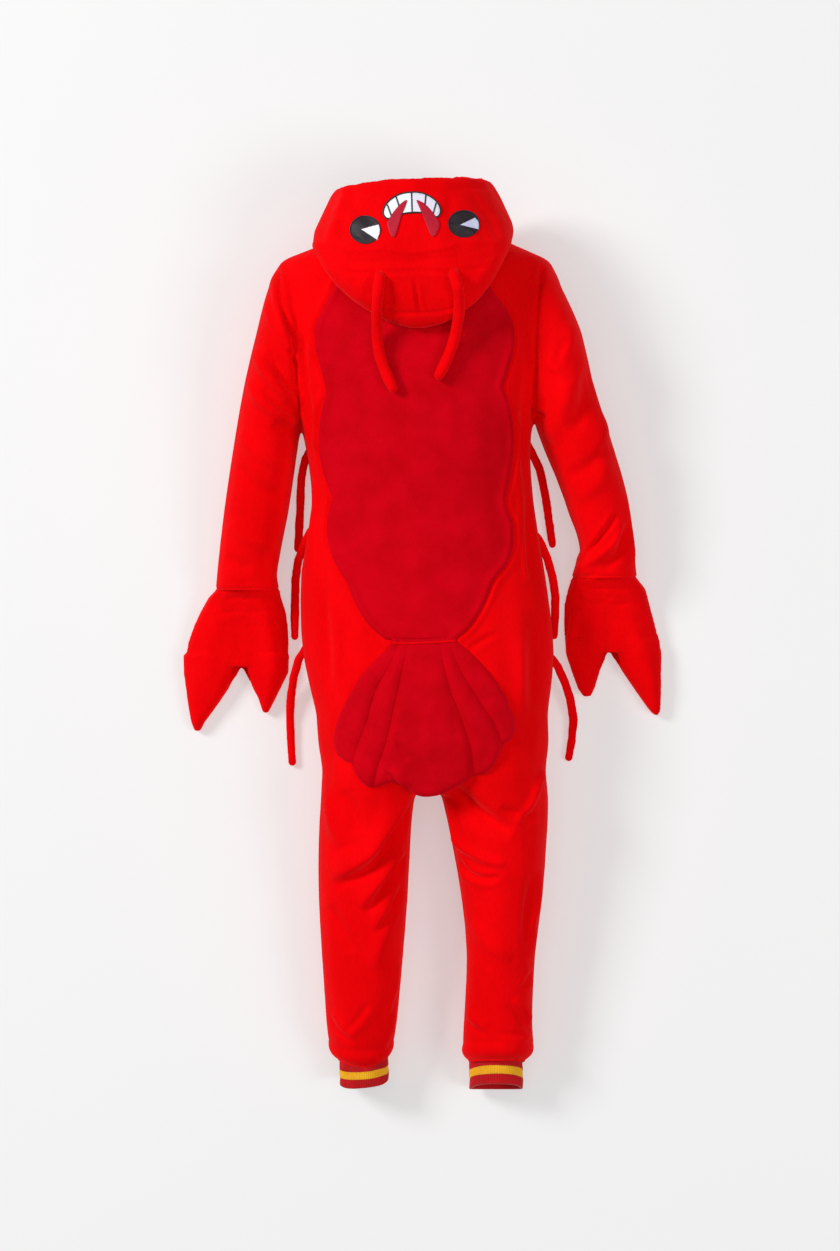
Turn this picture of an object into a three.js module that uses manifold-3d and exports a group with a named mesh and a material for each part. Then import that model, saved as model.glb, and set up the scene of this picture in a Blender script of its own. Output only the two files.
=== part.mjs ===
// Lobster costume: an adult hooded one-piece suit of red plush, lying on its front.
// Millimetres. +X is right, +Y points to the hood, +Z is up from the floor under the suit.
// The origin is on the floor, below the middle of the suit's length and width.

import * as THREE from 'three';
import { mergeVertices } from 'three/addons/utils/BufferGeometryUtils.js';
import Module from 'manifold-3d';

const wasm = await Module();
wasm.setup();

// ---------------------------------------------------------------- driving dimensions

const SUIT_WALL = 8; // padded thickness of the plush body, sleeves and legs
const HOOD_WALL = 6;
const CLAW_WALL = 8;
const CUFF_WALL = 7;
const GAP = 0.5; // clearance between pieces sewn together
const SEAM_GAP = 0.3; // clearance at the flat seams
const BURIED = 5; // depth of the rounded underside that the floor flattens

const WAIST = 0.42; // height of a section's widest line, as a share of its height
const UPPER_FULLNESS = 2.2; // superellipse power of the upper half of a section
const LOWER_FULLNESS = 3.2; // and of the lower half, squarer where it lies flat

const PANEL_THICKNESS = 3; // dark back panel
const PATCH_THICKNESS = 1.6; // one layer of the face appliqué
const TAIL_EDGE = 5; // tail fan, thickness along its stitch lines
const TAIL_PUFF = 11; // and what the filling adds in the middle of a lobe
const ANTENNA_RADIUS = 8;
const SIDE_LEG_RADIUS = 6.3;

// Sections across the suit: [y, left x, right x, underside z, top z]
const TORSO = [
  [703, -96, 78, 45, 172],
  [683, -144, 132, 35, 180],
  [647, -239, 217, 18, 192],
  [583, -263, 235, -BURIED, 203],
  [514, -249, 221, -BURIED, 207],
  [354, -203, 185, -BURIED, 205],
  [233, -188, 190, -BURIED, 192],
  [122, -206, 208, -BURIED, 194],
  [-21, -203, 224, -BURIED, 212],
  [-123, -180, 213, -BURIED, 210],
  [-219, -170, 210, -BURIED, 187],
  [-248, -135, 165, 0, 168],
  [-264, -78, 106, 35, 140],
];

const SLEEVES = {
  left: [
    [646, -237, -208, 60, 112],
    [629, -251, -203, 40, 136],
    [589, -266, -197, 15, 162],
    [528, -282, -192, -BURIED, 172],
    [447, -302, -196, -BURIED, 164],
    [356, -319, -211, -BURIED, 147],
    [222, -340, -231, -BURIED, 120],
    [114, -353, -252, -BURIED, 94],
    [90, -355, -247, -BURIED, 86],
  ],
  right: [
    [646, 185, 212, 60, 112],
    [629, 180, 224, 40, 136],
    [589, 173, 243, 15, 162],
    [528, 172, 271, -BURIED, 172],
    [447, 181, 290, -BURIED, 164],
    [366, 196, 316, -BURIED, 149],
    [243, 245, 353, -BURIED, 123],
    [137, 266, 366, -BURIED, 95],
    [111, 258, 369, -BURIED, 86],
  ],
};

const LEGS = {
  left: [
    [-130, -156, -4, 5, 172],
    [-219, -170, 10, -BURIED, 184],
    [-271, -173, -14, -BURIED, 168],
    [-343, -177, -21, -BURIED, 155],
    [-440, -177, -26, -BURIED, 140],
    [-609, -167, -40, -BURIED, 120],
    [-685, -161, -49, -BURIED, 104],
    [-708, -152, -59, 2, 93],
    [-728, -140, -61, 6, 86],
  ],
  right: [
    [-130, 24, 196, 5, 172],
    [-219, 10, 210, -BURIED, 184],
    [-271, 34, 215, -BURIED, 170],
    [-343, 51, 212, -BURIED, 158],
    [-440, 68, 205, -BURIED, 142],
    [-536, 77, 193, -BURIED, 128],
    [-657, 72, 188, -BURIED, 114],
    [-694, 70, 191, -BURIED, 108],
    [-712, 75, 181, 3, 97],
    [-728, 80, 175, 7, 91],
  ],
};

// Knitted ankle cuffs. Their rings are tilted: lean is the shift in y from floor to top.
const CUFFS = {
  left: { top: -717, bottom: -760, section: [-142, -58, 6, 86], lean: -14 },
  right: { top: -721, bottom: -769, section: [81, 173, 7, 88], lean: 14 },
};
// Shares of a cuff's height where the yellow stripe starts and ends
const STRIPE = [0.34, 0.64];

const CLAWS = {
  left: {
    palm: [
      [89.6, -355, -246, -BURIED, 80],
      [75, -370, -243, -BURIED, 66],
      [51, -384, -235, -BURIED, 54],
      [27, -396, -231, -BURIED, 47],
      [-3, -407, -229, -BURIED, 43],
      [-44, -414, -231, -BURIED, 40],
    ],
    outer: [
      [-23, -415, -298, -BURIED, 41],
      [-53, -414, -315, -BURIED, 40],
      [-98, -408, -346, -BURIED, 34],
      [-140, -401, -377, -BURIED, 26],
      [-155, -395, -385, 2, 18],
    ],
    inner: [
      [-23, -329, -229, -BURIED, 41],
      [-53, -310, -230, -BURIED, 40],
      [-98, -283, -253, -BURIED, 30],
      [-112, -279, -260, -BURIED, 26],
      [-124, -275, -266, 2, 18],
    ],
    fingers: [-336, -292],
  },
  right: {
    palm: [
      [110.6, 258, 369, -BURIED, 80],
      [90, 251, 386, -BURIED, 64],
      [65, 245, 393, -BURIED, 52],
      [37, 244, 401, -BURIED, 46],
      [9, 245, 409, -BURIED, 43],
      [-19, 248, 415, -BURIED, 41],
    ],
    outer: [
      [2, 307, 411, -BURIED, 42],
      [-25, 326, 415, -BURIED, 41],
      [-77, 363, 412, -BURIED, 35],
      [-117, 392, 413, -BURIED, 26],
      [-127, 401, 410, 2, 18],
    ],
    inner: [
      [2, 246, 342, -BURIED, 42],
      [-22, 248, 322, -BURIED, 41],
      [-63, 263, 303, -BURIED, 34],
      [-81, 268, 298, -BURIED, 28],
      [-95, 278, 291, 2, 18],
    ],
    fingers: [302, 346],
  },
};

// The hood lies back on the shoulders, its mouth towards +Y.
const HOOD = [
  [778, -134, 114, 12, 240],
  [753, -152, 128, 10, 251],
  [706, -172, 148, 32, 262],
  [690, -178, 150, 60, 265],
  [658, -180, 143, 150, 268],
  [618, -159, 124, 190, 266],
  [592, -140, 109, 198, 262],
  [568, -113, 90, 202, 256],
  [550, -86, 67, 203, 249],
  [532, -54, 36, 204, 238],
  [524, -22, 6, 206, 226],
];
const HOOD_TILT = THREE.MathUtils.degToRad(3); // turn of the mouth and face about +Z
const HOOD_SEAM_Y = 608; // where the hood's front, which bears the face, is sewn to its back
// Edge of the hood's mouth seen from the side: [y, z] from the nape down to the throat
const BRIM = [[764, 262], [769, 110], [740, 55], [688, 15]];

// Left and right armhole seams seen from above: shoulder point and underarm point
const ARMHOLES = {
  left: { shoulder: [-241, 612], underarm: [-203, 352] },
  right: { shoulder: [206, 612], underarm: [185, 380] },
};
const ELBOWS = { left: 300, right: 310 }; // y where a sleeve's forearm is pieced on
const CROTCH_Y = -219;
const INSEAM_X = 10;

// Outline of the back panel: each side is a row of lobes that meet at the notches
const PANEL_LEFT = [
  [[-142, 605], [-172, 548], [-180, 508], [-162, 414]],
  [[-162, 414], [-173, 370], [-174, 321], [-152, 244]],
  [[-152, 244], [-160, 190], [-126, 98], [-91, 32], [-51, 3]],
];
const PANEL_RIGHT = [
  [[97, 605], [139, 560], [154, 510], [134, 426]],
  [[134, 426], [151, 375], [153, 325], [140, 240]],
  [[140, 240], [153, 180], [120, 103], [84, 32], [56, 5]],
];

// The tail fan: seams between lobes, from its root to its scalloped rim
const TAIL_SEAMS = [
  { root: [-56, -4], rim: [-143, -168], bow: 26 },
  { root: [-39, -2], rim: [-117, -198], bow: 8 },
  { root: [-25, -2], rim: [-80, -236], bow: 3 },
  { root: [26, 0], rim: [86, -219], bow: -4 },
  { root: [43, 1], rim: [136, -172], bow: -8 },
  { root: [63, 2], rim: [153, -143], bow: -20 },
];
const TAIL_SCALLOP = [7, 16, 26, 12, 6]; // how far each lobe's rim bulges past its seams

// Centre lines of the stuffed antennae on the hood and of the legs along the side seams
const ANTENNAE = {
  left: [
    [-70, 609, 254], [-70, 597, 271], [-73, 573, 271], [-75, 544, 252],
    [-75, 511, 229], [-71, 476, 221], [-59, 442, 220], [-46, 415, 220],
  ],
  right: [
    [50, 613, 254], [53, 600, 271], [59, 577, 270], [61, 552, 250],
    [56, 518, 229], [47, 484, 221], [33, 453, 220], [24, 436, 220],
  ],
};
const SIDE_LEGS = {
  left: [
    [[-186, 336, 74], [-201, 313, 54], [-209, 278, 30], [-211, 231, 13], [-216, 155, 7]],
    [[-187, 196, 74], [-206, 160, 54], [-217, 125, 30], [-220, 85, 13], [-221, 3, 7]],
    [[-195, -4, 78], [-212, -30, 52], [-224, -73, 26], [-229, -125, 10], [-225, -215, 7]],
  ],
  right: [
    [[176, 344, 74], [186, 327, 56], [201, 300, 32], [211, 262, 14], [226, 162, 7]],
    [[183, 196, 74], [205, 166, 54], [221, 125, 30], [230, 81, 13], [228, 4, 7]],
    [[214, -20, 78], [233, -44, 52], [252, -88, 26], [262, -136, 10], [253, -207, 7]],
  ],
};

// The face on the hood, in a frame of its own: x to the right, y towards the hood's mouth
const FACE_CENTRE = [-15, 683];
const EYE_SPREAD = 81;
const EYE_RADII = [24.2, 21.8];
const GLINTS = {
  left: { apex: [-6.5, 1], rays: [22, -38] },
  right: { apex: [-6, -2], rays: [27, -17] },
};
const MOUTH = { centre: [0, 21], radii: [47, 36], chin: [40, -16], dip: 8, line: 2.4 };
const TOOTH_LINES = [-35, -20, 0, 20, 35];
const TOOTH_LEAN = 0.22; // how far the lines fan out, as a share of their place
const GLINT_REACH = 60;
const MANDIBLE = [[8, 43], [29, 22], [41, 7], [34, -15], [23, 5], [13, 27]];

// Sides of the sections, and of the coarser linings inside them
const AROUND = { torso: 24, limb: 16, hood: 20, cuff: 16, claw: 12, antenna: 7, sideLeg: 6 };
const LINING_AROUND = { torso: 18, limb: 12, hood: 16, cuff: 12, claw: 12 };
const ANTENNA_STEPS = 10;
const SIDE_LEG_STEPS = 6;

const COLOURS = {
  plush: 0xe60a0e,
  panel: 0xbe0214,
  mandible: 0xc80f2c,
  rib: 0xcc0616,
  stripe: 0xf5ab26,
  black: 0x252024,
  white: 0xf2f1f8,
};

// ------------------------------------------------------------------- solids and booleans

function toSolid(geometry) {
  const bare = geometry.clone();
  bare.deleteAttribute('normal');
  bare.deleteAttribute('uv');
  const merged = mergeVertices(bare, 1e-4);
  return new wasm.Manifold(new wasm.Mesh({
    numProp: 3,
    vertProperties: new Float32Array(merged.attributes.position.array),
    triVerts: new Uint32Array(merged.index.array),
  }));
}

function toGeometry(solid) {
  const mesh = solid.getMesh();
  const geometry = new THREE.BufferGeometry();
  geometry.setAttribute('position', new THREE.BufferAttribute(mesh.vertProperties, 3));
  geometry.setIndex(new THREE.BufferAttribute(mesh.triVerts, 1));
  geometry.computeVertexNormals();
  return geometry;
}

function closedGeometry(positions, indices) {
  const geometry = new THREE.BufferGeometry();
  geometry.setAttribute('position', new THREE.Float32BufferAttribute(positions, 3));
  geometry.setIndex(indices);
  return geometry;
}

function boxSolid(xRange, yRange, zRange) {
  const size = [xRange, yRange, zRange].map(([low, high]) => high - low);
  const geometry = new THREE.BoxGeometry(...size);
  geometry.translate(...[xRange, yRange, zRange].map(([low, high]) => (low + high) / 2));
  return toSolid(geometry);
}

// A shape drawn in the XY plane, standing from z = low to z = high
function prism(shape, low, high, curveSegments = 3) {
  const geometry = new THREE.ExtrudeGeometry(shape, {
    depth: high - low,
    bevelEnabled: false,
    curveSegments,
  });
  geometry.translate(0, 0, low);
  return toSolid(geometry);
}

// ------------------------------------------------------------------- lofts along the suit

// The section at a given y: a smooth curve through the stations, held past either end
function sectionAt(stations, y) {
  const last = stations.length - 1;
  if (y >= stations[0][0]) return stations[0].slice(1);
  if (y <= stations[last][0]) return stations[last].slice(1);
  const i = stations.findIndex((station) => station[0] < y) - 1;
  const [before, start, end, after] = [-1, 0, 1, 2].map(
    (step) => stations[THREE.MathUtils.clamp(i + step, 0, last)],
  );
  const span = end[0] - start[0];
  const t = (y - start[0]) / span;
  return [1, 2, 3, 4].map((key) => {
    const startSlope = (end[key] - before[key]) / (end[0] - before[0]);
    const endSlope = (after[key] - start[key]) / (after[0] - start[0]);
    return (
      start[key] * (2 * t ** 3 - 3 * t ** 2 + 1)
      + startSlope * span * (t ** 3 - 2 * t ** 2 + t)
      + end[key] * (3 * t ** 2 - 2 * t ** 3)
      + endSlope * span * (t ** 3 - t ** 2)
    );
  });
}

// A closed section: two superellipse halves that meet at the widest line
function sectionPoint([left, right, bottom, top], angle, grow) {
  const waist = bottom + WAIST * (top - bottom);
  const [c, s] = [Math.cos(angle), Math.sin(angle)];
  const power = 2 / (s >= 0 ? UPPER_FULLNESS : LOWER_FULLNESS);
  const halfHeight = (s >= 0 ? top - waist : waist - bottom) + grow;
  const halfWidth = (right - left) / 2 + grow;
  return [
    (left + right) / 2 + halfWidth * Math.sign(c) * Math.abs(c) ** power,
    waist + halfHeight * Math.sign(s) * Math.abs(s) ** power,
  ];
}

function topHeight(stations, x, y) {
  const [left, right, bottom, top] = sectionAt(stations, y);
  const waist = bottom + WAIST * (top - bottom);
  const share = Math.min(1, Math.abs(x - (left + right) / 2) / ((right - left) / 2));
  return waist + (top - waist) * (1 - share ** UPPER_FULLNESS) ** (1 / UPPER_FULLNESS);
}

// The y of each ring: every station, and steps between them no longer than the spacing
function ringLevels(stations, from, to, spacing) {
  const inside = stations.map((station) => station[0]).filter((y) => y < from && y > to);
  const marks = [from, ...inside, to];
  const levels = [];
  marks.slice(1).forEach((mark, i) => {
    const steps = Math.ceil((marks[i] - mark) / spacing);
    for (let k = 0; k < steps; k += 1) levels.push(marks[i] + ((mark - marks[i]) * k) / steps);
  });
  return [...levels, to];
}

// A solid through the stations. head and foot lengthen it at either end.
function loft(stations, options) {
  const { around, grow = 0, head = 0, foot = 0, spacing = 60, lean = 0 } = options;
  const from = stations[0][0] + head;
  const to = stations[stations.length - 1][0] - foot;
  const levels = ringLevels(stations, from, to, spacing);
  const positions = [];
  const indices = [];
  levels.forEach((y) => {
    const section = sectionAt(stations, y);
    const middle = (section[2] + section[3]) / 2;
    const slope = lean / (section[3] - section[2]);
    for (let j = 0; j < around; j += 1) {
      const [x, z] = sectionPoint(section, (2 * Math.PI * j) / around, grow);
      positions.push(x, y + slope * (z - middle), z);
    }
  });
  [levels[0], levels[levels.length - 1]].forEach((y) => {
    const [left, right, bottom, top] = sectionAt(stations, y);
    positions.push((left + right) / 2, y, (bottom + top) / 2);
  });
  const headCentre = levels.length * around;
  for (let j = 0; j < around; j += 1) {
    const next = (j + 1) % around;
    for (let i = 0; i < levels.length - 1; i += 1) {
      const [a, b] = [i * around + j, i * around + next];
      indices.push(a, b, a + around, b, b + around, a + around);
    }
    const lastRing = (levels.length - 1) * around;
    indices.push(headCentre, next, j);
    indices.push(headCentre + 1, lastRing + j, lastRing + next);
  }
  return toSolid(closedGeometry(positions, indices));
}

// ------------------------------------------------------------------- stuffed tubes

// A round tube along a smooth line, tapered to a rounded tip at its far end
function stuffedTube(points, radius, around, steps) {
  const path = new THREE.CatmullRomCurve3(points.map((point) => new THREE.Vector3(...point)));
  const tipShares = [0.45, 0.85];
  const shares = [
    ...Array.from({ length: steps }, (_, i) => i / steps),
    ...tipShares.map((share) => 1 - ((1 - share) * radius) / path.getLength()),
  ];
  const up = new THREE.Vector3(0, 0, 1);
  const positions = [];
  const indices = [];
  shares.forEach((share) => {
    const centre = path.getPointAt(share);
    const along = path.getTangentAt(share);
    const side = new THREE.Vector3().crossVectors(up, along).normalize();
    const normal = new THREE.Vector3().crossVectors(along, side);
    const left = ((1 - share) * path.getLength()) / radius;
    const ringRadius = left < 1 ? radius * Math.sqrt(1 - (1 - left) ** 2) : radius;
    for (let j = 0; j < around; j += 1) {
      const angle = (2 * Math.PI * j) / around;
      const rim = centre.clone();
      rim.addScaledVector(side, ringRadius * Math.cos(angle));
      rim.addScaledVector(normal, ringRadius * Math.sin(angle));
      positions.push(...rim.toArray());
    }
  });
  positions.push(...path.getPointAt(0).toArray(), ...path.getPointAt(1).toArray());
  const startCentre = shares.length * around;
  const lastRing = (shares.length - 1) * around;
  for (let j = 0; j < around; j += 1) {
    const next = (j + 1) % around;
    for (let i = 0; i < shares.length - 1; i += 1) {
      const [a, b] = [i * around + j, i * around + next];
      indices.push(a, b, a + around, b, b + around, a + around);
    }
    indices.push(startCentre, next, j);
    indices.push(startCentre + 1, lastRing + j, lastRing + next);
  }
  return toSolid(closedGeometry(positions, indices));
}

// ------------------------------------------------------------------- the scene graph

const costume = new THREE.Group();

function addPiece(name, colour, solid) {
  const material = new THREE.MeshStandardMaterial({ color: colour, roughness: 0.95, metalness: 0 });
  const mesh = new THREE.Mesh(toGeometry(solid), material);
  mesh.name = name;
  costume.add(mesh);
}

// ------------------------------------------------------------------- the suit's tubes

const FAR = 1200;
const belowFloor = boxSolid([-FAR, FAR], [-FAR, FAR], [-FAR, 0]);
const belowLining = boxSolid([-FAR, FAR], [-FAR, FAR], [-FAR, SUIT_WALL]);

const torsoBody = loft(TORSO, { around: AROUND.torso }).subtract(belowFloor);
const torsoCover = loft(TORSO, { around: AROUND.torso, grow: GAP, head: GAP, foot: GAP });
// A lining runs past the open ends, and starts inside the piece that it opens into
const LINING = { spacing: 120, grow: -SUIT_WALL };
const BODY_LINING = { ...LINING, around: LINING_AROUND.torso, head: 30, foot: -12 };
const SLEEVE_LINING = { ...LINING, around: LINING_AROUND.limb, head: -20, foot: 30 };
const LEG_LINING = { ...LINING, around: LINING_AROUND.limb, head: -80, foot: 30 };
const sleeveBodies = {};
const legBodies = {};
const linings = [loft(TORSO, BODY_LINING)];
['left', 'right'].forEach((side) => {
  sleeveBodies[side] = loft(SLEEVES[side], { around: AROUND.limb }).subtract(belowFloor);
  legBodies[side] = loft(LEGS[side], { around: AROUND.limb }).subtract(belowFloor);
  linings.push(loft(SLEEVES[side], SLEEVE_LINING));
  linings.push(loft(LEGS[side], LEG_LINING));
});
const hollow = linings.reduce((all, lining) => all.add(lining)).subtract(belowLining);

// Everything past an armhole seam, from a reach below the underarm up to the shoulder
function besideArmhole(side, gap, reach) {
  const { shoulder, underarm } = ARMHOLES[side];
  const outward = side === 'left' ? -1 : 1;
  const seam = new THREE.Vector2(shoulder[0] - underarm[0], shoulder[1] - underarm[1]);
  const turn = Math.atan2(-seam.x, seam.y);
  const geometry = new THREE.BoxGeometry(FAR, FAR + reach, FAR);
  geometry.translate(outward * (FAR / 2 + gap), (FAR - reach) / 2, 0);
  geometry.rotateZ(turn);
  geometry.translate(underarm[0], underarm[1], 0);
  return toSolid(geometry);
}

let torso = torsoBody.add(legBodies.left).add(legBodies.right);
const SLEEVE_REACH = 400;
['left', 'right'].forEach((side) => {
  const aboveUnderarm = boxSolid([-FAR, FAR], [ARMHOLES[side].underarm[1], FAR], [-FAR, FAR]);
  const yoke = sleeveBodies[side].intersect(aboveUnderarm);
  torso = torso.add(yoke).subtract(besideArmhole(side, 0, 0));
  const shoulder = torsoBody.intersect(besideArmhole(side, SEAM_GAP, 0));
  const arm = sleeveBodies[side].intersect(besideArmhole(side, SEAM_GAP, SLEEVE_REACH));
  const sleeve = shoulder.add(arm).subtract(hollow);
  const [pastElbow, elbowCut] = [SEAM_GAP, 0].map((gap) => (
    boxSolid([-FAR, FAR], [-FAR, ELBOWS[side] - gap], [-FAR, FAR])));
  addPiece(`sleeve_${side}`, COLOURS.plush, sleeve.subtract(elbowCut));
  addPiece(`forearm_${side}`, COLOURS.plush, sleeve.intersect(pastElbow));
});

const belowCrotch = boxSolid([-FAR, FAR], [-FAR, CROTCH_Y], [-FAR, FAR]);
torso = torso.subtract(belowCrotch).subtract(hollow);
addPiece('torso', COLOURS.plush, torso);

// ------------------------------------------------------------------- legs and ankle cuffs

// All of space on the foot side of a cuff's tilted ring
function pastRing(y, { section, lean }) {
  const [left, right, bottom, top] = section;
  const geometry = new THREE.BoxGeometry(FAR, FAR, FAR);
  geometry.translate((left + right) / 2, -FAR / 2, 0);
  geometry.rotateX(Math.atan2(-lean, top - bottom));
  geometry.translate(0, y, (bottom + top) / 2);
  return toSolid(geometry);
}

function cuffRing(cuff, from, to) {
  const stations = [[from, ...cuff.section], [to, ...cuff.section]];
  const outer = loft(stations, { around: AROUND.cuff, lean: cuff.lean });
  const ankle = loft(stations, {
    around: LINING_AROUND.cuff,
    lean: cuff.lean,
    grow: -CUFF_WALL,
    head: Math.abs(cuff.lean),
    foot: Math.abs(cuff.lean),
  });
  return outer.subtract(ankle);
}

['left', 'right'].forEach((side) => {
  const cuff = CUFFS[side];
  const seatX = side === 'left' ? [-FAR, INSEAM_X - SEAM_GAP / 2] : [INSEAM_X + SEAM_GAP / 2, FAR];
  const half = boxSolid(seatX, [-FAR, CROTCH_Y - SEAM_GAP], [-FAR, FAR]);
  const seat = torsoBody.intersect(half);
  const blank = legBodies[side].intersect(half).add(seat);
  const leg = blank.subtract(pastRing(cuff.top, cuff));
  addPiece(`leg_${side}`, COLOURS.plush, leg.subtract(hollow));

  const height = cuff.top - cuff.bottom;
  const marks = [0, ...STRIPE, 1].map((share) => cuff.top - share * height);
  const bands = [[`cuff_${side}`, COLOURS.rib], [`cuff_stripe_${side}`, COLOURS.stripe],
    [`cuff_end_${side}`, COLOURS.rib]];
  bands.forEach(([name, colour], i) => {
    addPiece(name, colour, cuffRing(cuff, marks[i] - SEAM_GAP, marks[i + 1]));
  });
});

// ------------------------------------------------------------------- claw mittens

// The hand's space narrows over this length to the slot at the notch
const HAND = { narrowing: 24, spread: 14, slotTop: 33, slotLength: 40 };

['left', 'right'].forEach((side) => {
  const { palm, outer, inner, fingers } = CLAWS[side];
  const wrist = palm[0][0];
  const notch = palm[palm.length - 1][0];
  const blank = [palm, outer, inner].map((stations) => loft(stations, { around: AROUND.claw }));
  const claw = blank.reduce((all, piece) => all.add(piece)).subtract(belowFloor);
  const slot = [fingers[0], fingers[1], CLAW_WALL, HAND.slotTop];
  const mouth = [fingers[0] - HAND.spread, fingers[1] + HAND.spread, CLAW_WALL, HAND.slotTop + 1];
  const palmSpace = palm.slice(0, 4).map(([y, left, right, , top]) => (
    [y, left + CLAW_WALL, right - CLAW_WALL, CLAW_WALL, top - CLAW_WALL]));
  palmSpace[0][0] = wrist + CLAW_WALL;
  const hand = [
    ...palmSpace,
    [notch + HAND.narrowing, ...mouth],
    [notch, ...slot],
    [notch - HAND.slotLength, ...slot],
  ];
  addPiece(`claw_${side}`, COLOURS.plush, claw.subtract(loft(hand, { around: LINING_AROUND.claw })));
});

// ------------------------------------------------------------------- back panel

function lobedShape(leftLobes, rightLobes) {
  const shape = new THREE.Shape();
  const points = (lobe) => lobe.map(([x, y]) => new THREE.Vector2(x, y));
  const start = leftLobes[0][0];
  shape.moveTo(start[0], start[1]);
  leftLobes.forEach((lobe) => shape.splineThru(points(lobe.slice(1))));
  const end = rightLobes[rightLobes.length - 1];
  shape.lineTo(...end[end.length - 1]);
  [...rightLobes].reverse().forEach((lobe) => {
    shape.splineThru(points([...lobe].reverse().slice(1)));
  });
  shape.closePath();
  return shape;
}

const panelPrism = prism(lobedShape(PANEL_LEFT, PANEL_RIGHT), 100, FAR);
const panelTop = GAP + PANEL_THICKNESS;
const panelSkin = loft(TORSO, { around: AROUND.torso, grow: panelTop }).subtract(torsoCover);
const panel = panelPrism.intersect(panelSkin);
addPiece('back_panel', COLOURS.panel, panel);
const panelCover = panelPrism.intersect(
  loft(TORSO, { around: AROUND.torso, grow: panelTop + GAP }));

// ------------------------------------------------------------------- hood

function pastBrim() {
  const shape = new THREE.Shape();
  shape.moveTo(BRIM[0][0], FAR / 2);
  BRIM.forEach(([y, z]) => shape.lineTo(y, z));
  shape.lineTo(BRIM[BRIM.length - 1][0], -FAR / 2);
  shape.lineTo(FAR, -FAR / 2);
  shape.lineTo(FAR, FAR / 2);
  const geometry = new THREE.ExtrudeGeometry(shape, { depth: FAR, bevelEnabled: false });
  geometry.translate(0, 0, -FAR / 2);
  geometry.rotateX(Math.PI / 2);
  geometry.rotateZ(Math.PI / 2);
  geometry.translate(0, -FACE_CENTRE[1], 0);
  geometry.rotateZ(HOOD_TILT);
  geometry.translate(0, FACE_CENTRE[1], 0);
  return toSolid(geometry);
}

const HOOD_FLOOR = 10; // the hood's underside, measured up from the suit's back
const hoodBody = loft(HOOD, { around: AROUND.hood });
const hoodHollow = loft(HOOD, {
  around: LINING_AROUND.hood,
  grow: -HOOD_WALL,
  head: 60,
  foot: -8,
}).subtract(loft(TORSO, { around: LINING_AROUND.torso, grow: HOOD_FLOOR }));
const hood = hoodBody
  .subtract(hoodHollow)
  .subtract(pastBrim())
  .subtract(torsoCover)
  .subtract(panelCover);
const hoodFront = boxSolid([-FAR, FAR], [HOOD_SEAM_Y, FAR], [0, FAR]);
const hoodBack = boxSolid([-FAR, FAR], [-FAR, HOOD_SEAM_Y - SEAM_GAP], [0, FAR]);
addPiece('hood', COLOURS.plush, hood.intersect(hoodFront));
addPiece('hood_back', COLOURS.plush, hood.intersect(hoodBack));
const hoodCover = loft(HOOD, { around: AROUND.hood, grow: GAP, head: GAP, foot: GAP });

// ------------------------------------------------------------------- tail fan

// Flat position on the fan: u counts lobes across it, v runs from the root to the rim
function fanPoint(u, v) {
  const lobe = Math.min(Math.floor(u), TAIL_SCALLOP.length - 1);
  const share = u - lobe;
  const [near, far] = [TAIL_SEAMS[lobe], TAIL_SEAMS[lobe + 1]];
  const mix = (a, b) => a + (b - a) * share;
  const root = new THREE.Vector2(mix(near.root[0], far.root[0]), mix(near.root[1], far.root[1]));
  const rim = new THREE.Vector2(mix(near.rim[0], far.rim[0]), mix(near.rim[1], far.rim[1]));
  const ray = rim.clone().sub(root);
  const across = new THREE.Vector2(ray.y, -ray.x).normalize();
  const bulge = TAIL_SCALLOP[lobe] * Math.sin(Math.PI * share) ** 0.8;
  rim.addScaledVector(ray.normalize(), bulge);
  const point = root.lerp(rim, v);
  return point.addScaledVector(across, mix(near.bow, far.bow) * 4 * v * (1 - v));
}

const TAIL_LOBE_STEPS = 4;
const TAIL_RAY_STEPS = 6;
const TAIL_SINK = 6; // the fan's underside before the suit is cut away from it
const SEAT_END = -200; // past here the fan hangs free, falling gently
const SEAT_FALL = 0.3;

function seatHeight(x, y) {
  return topHeight(TORSO, x, Math.max(y, SEAT_END)) - SEAT_FALL * Math.max(0, SEAT_END - y);
}

function tailFan() {
  const across = TAIL_SCALLOP.length * TAIL_LOBE_STEPS;
  const row = across + 1;
  const positions = [];
  const indices = [];
  [true, false].forEach((isTop) => {
    for (let k = 0; k <= TAIL_RAY_STEPS; k += 1) {
      for (let i = 0; i <= across; i += 1) {
        const [u, v] = [i / TAIL_LOBE_STEPS, k / TAIL_RAY_STEPS];
        const { x, y } = fanPoint(u, v);
        const lobeShare = Math.abs(Math.sin(Math.PI * u)) ** 0.7;
        const rayShare = Math.sin(Math.PI * Math.min(1, 0.12 + 0.88 * v)) ** 0.5;
        const puff = TAIL_EDGE + TAIL_PUFF * lobeShare * rayShare;
        positions.push(x, y, seatHeight(x, y) + (isTop ? puff : -TAIL_SINK));
      }
    }
  });
  const layer = row * (TAIL_RAY_STEPS + 1);
  for (let k = 0; k < TAIL_RAY_STEPS; k += 1) {
    for (let i = 0; i < across; i += 1) {
      const a = k * row + i;
      indices.push(a, a + row, a + 1, a + 1, a + row, a + row + 1);
      indices.push(layer + a, layer + a + 1, layer + a + row);
      indices.push(layer + a + 1, layer + a + row + 1, layer + a + row);
    }
  }
  const wall = (a, b) => indices.push(b, a, layer + a, b, layer + a, layer + b);
  for (let i = 0; i < across; i += 1) {
    wall(i + 1, i);
    wall(TAIL_RAY_STEPS * row + i, TAIL_RAY_STEPS * row + i + 1);
  }
  for (let k = 0; k < TAIL_RAY_STEPS; k += 1) {
    wall(k * row, (k + 1) * row);
    wall((k + 1) * row + across, k * row + across);
  }
  return toSolid(closedGeometry(positions, indices));
}

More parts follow.
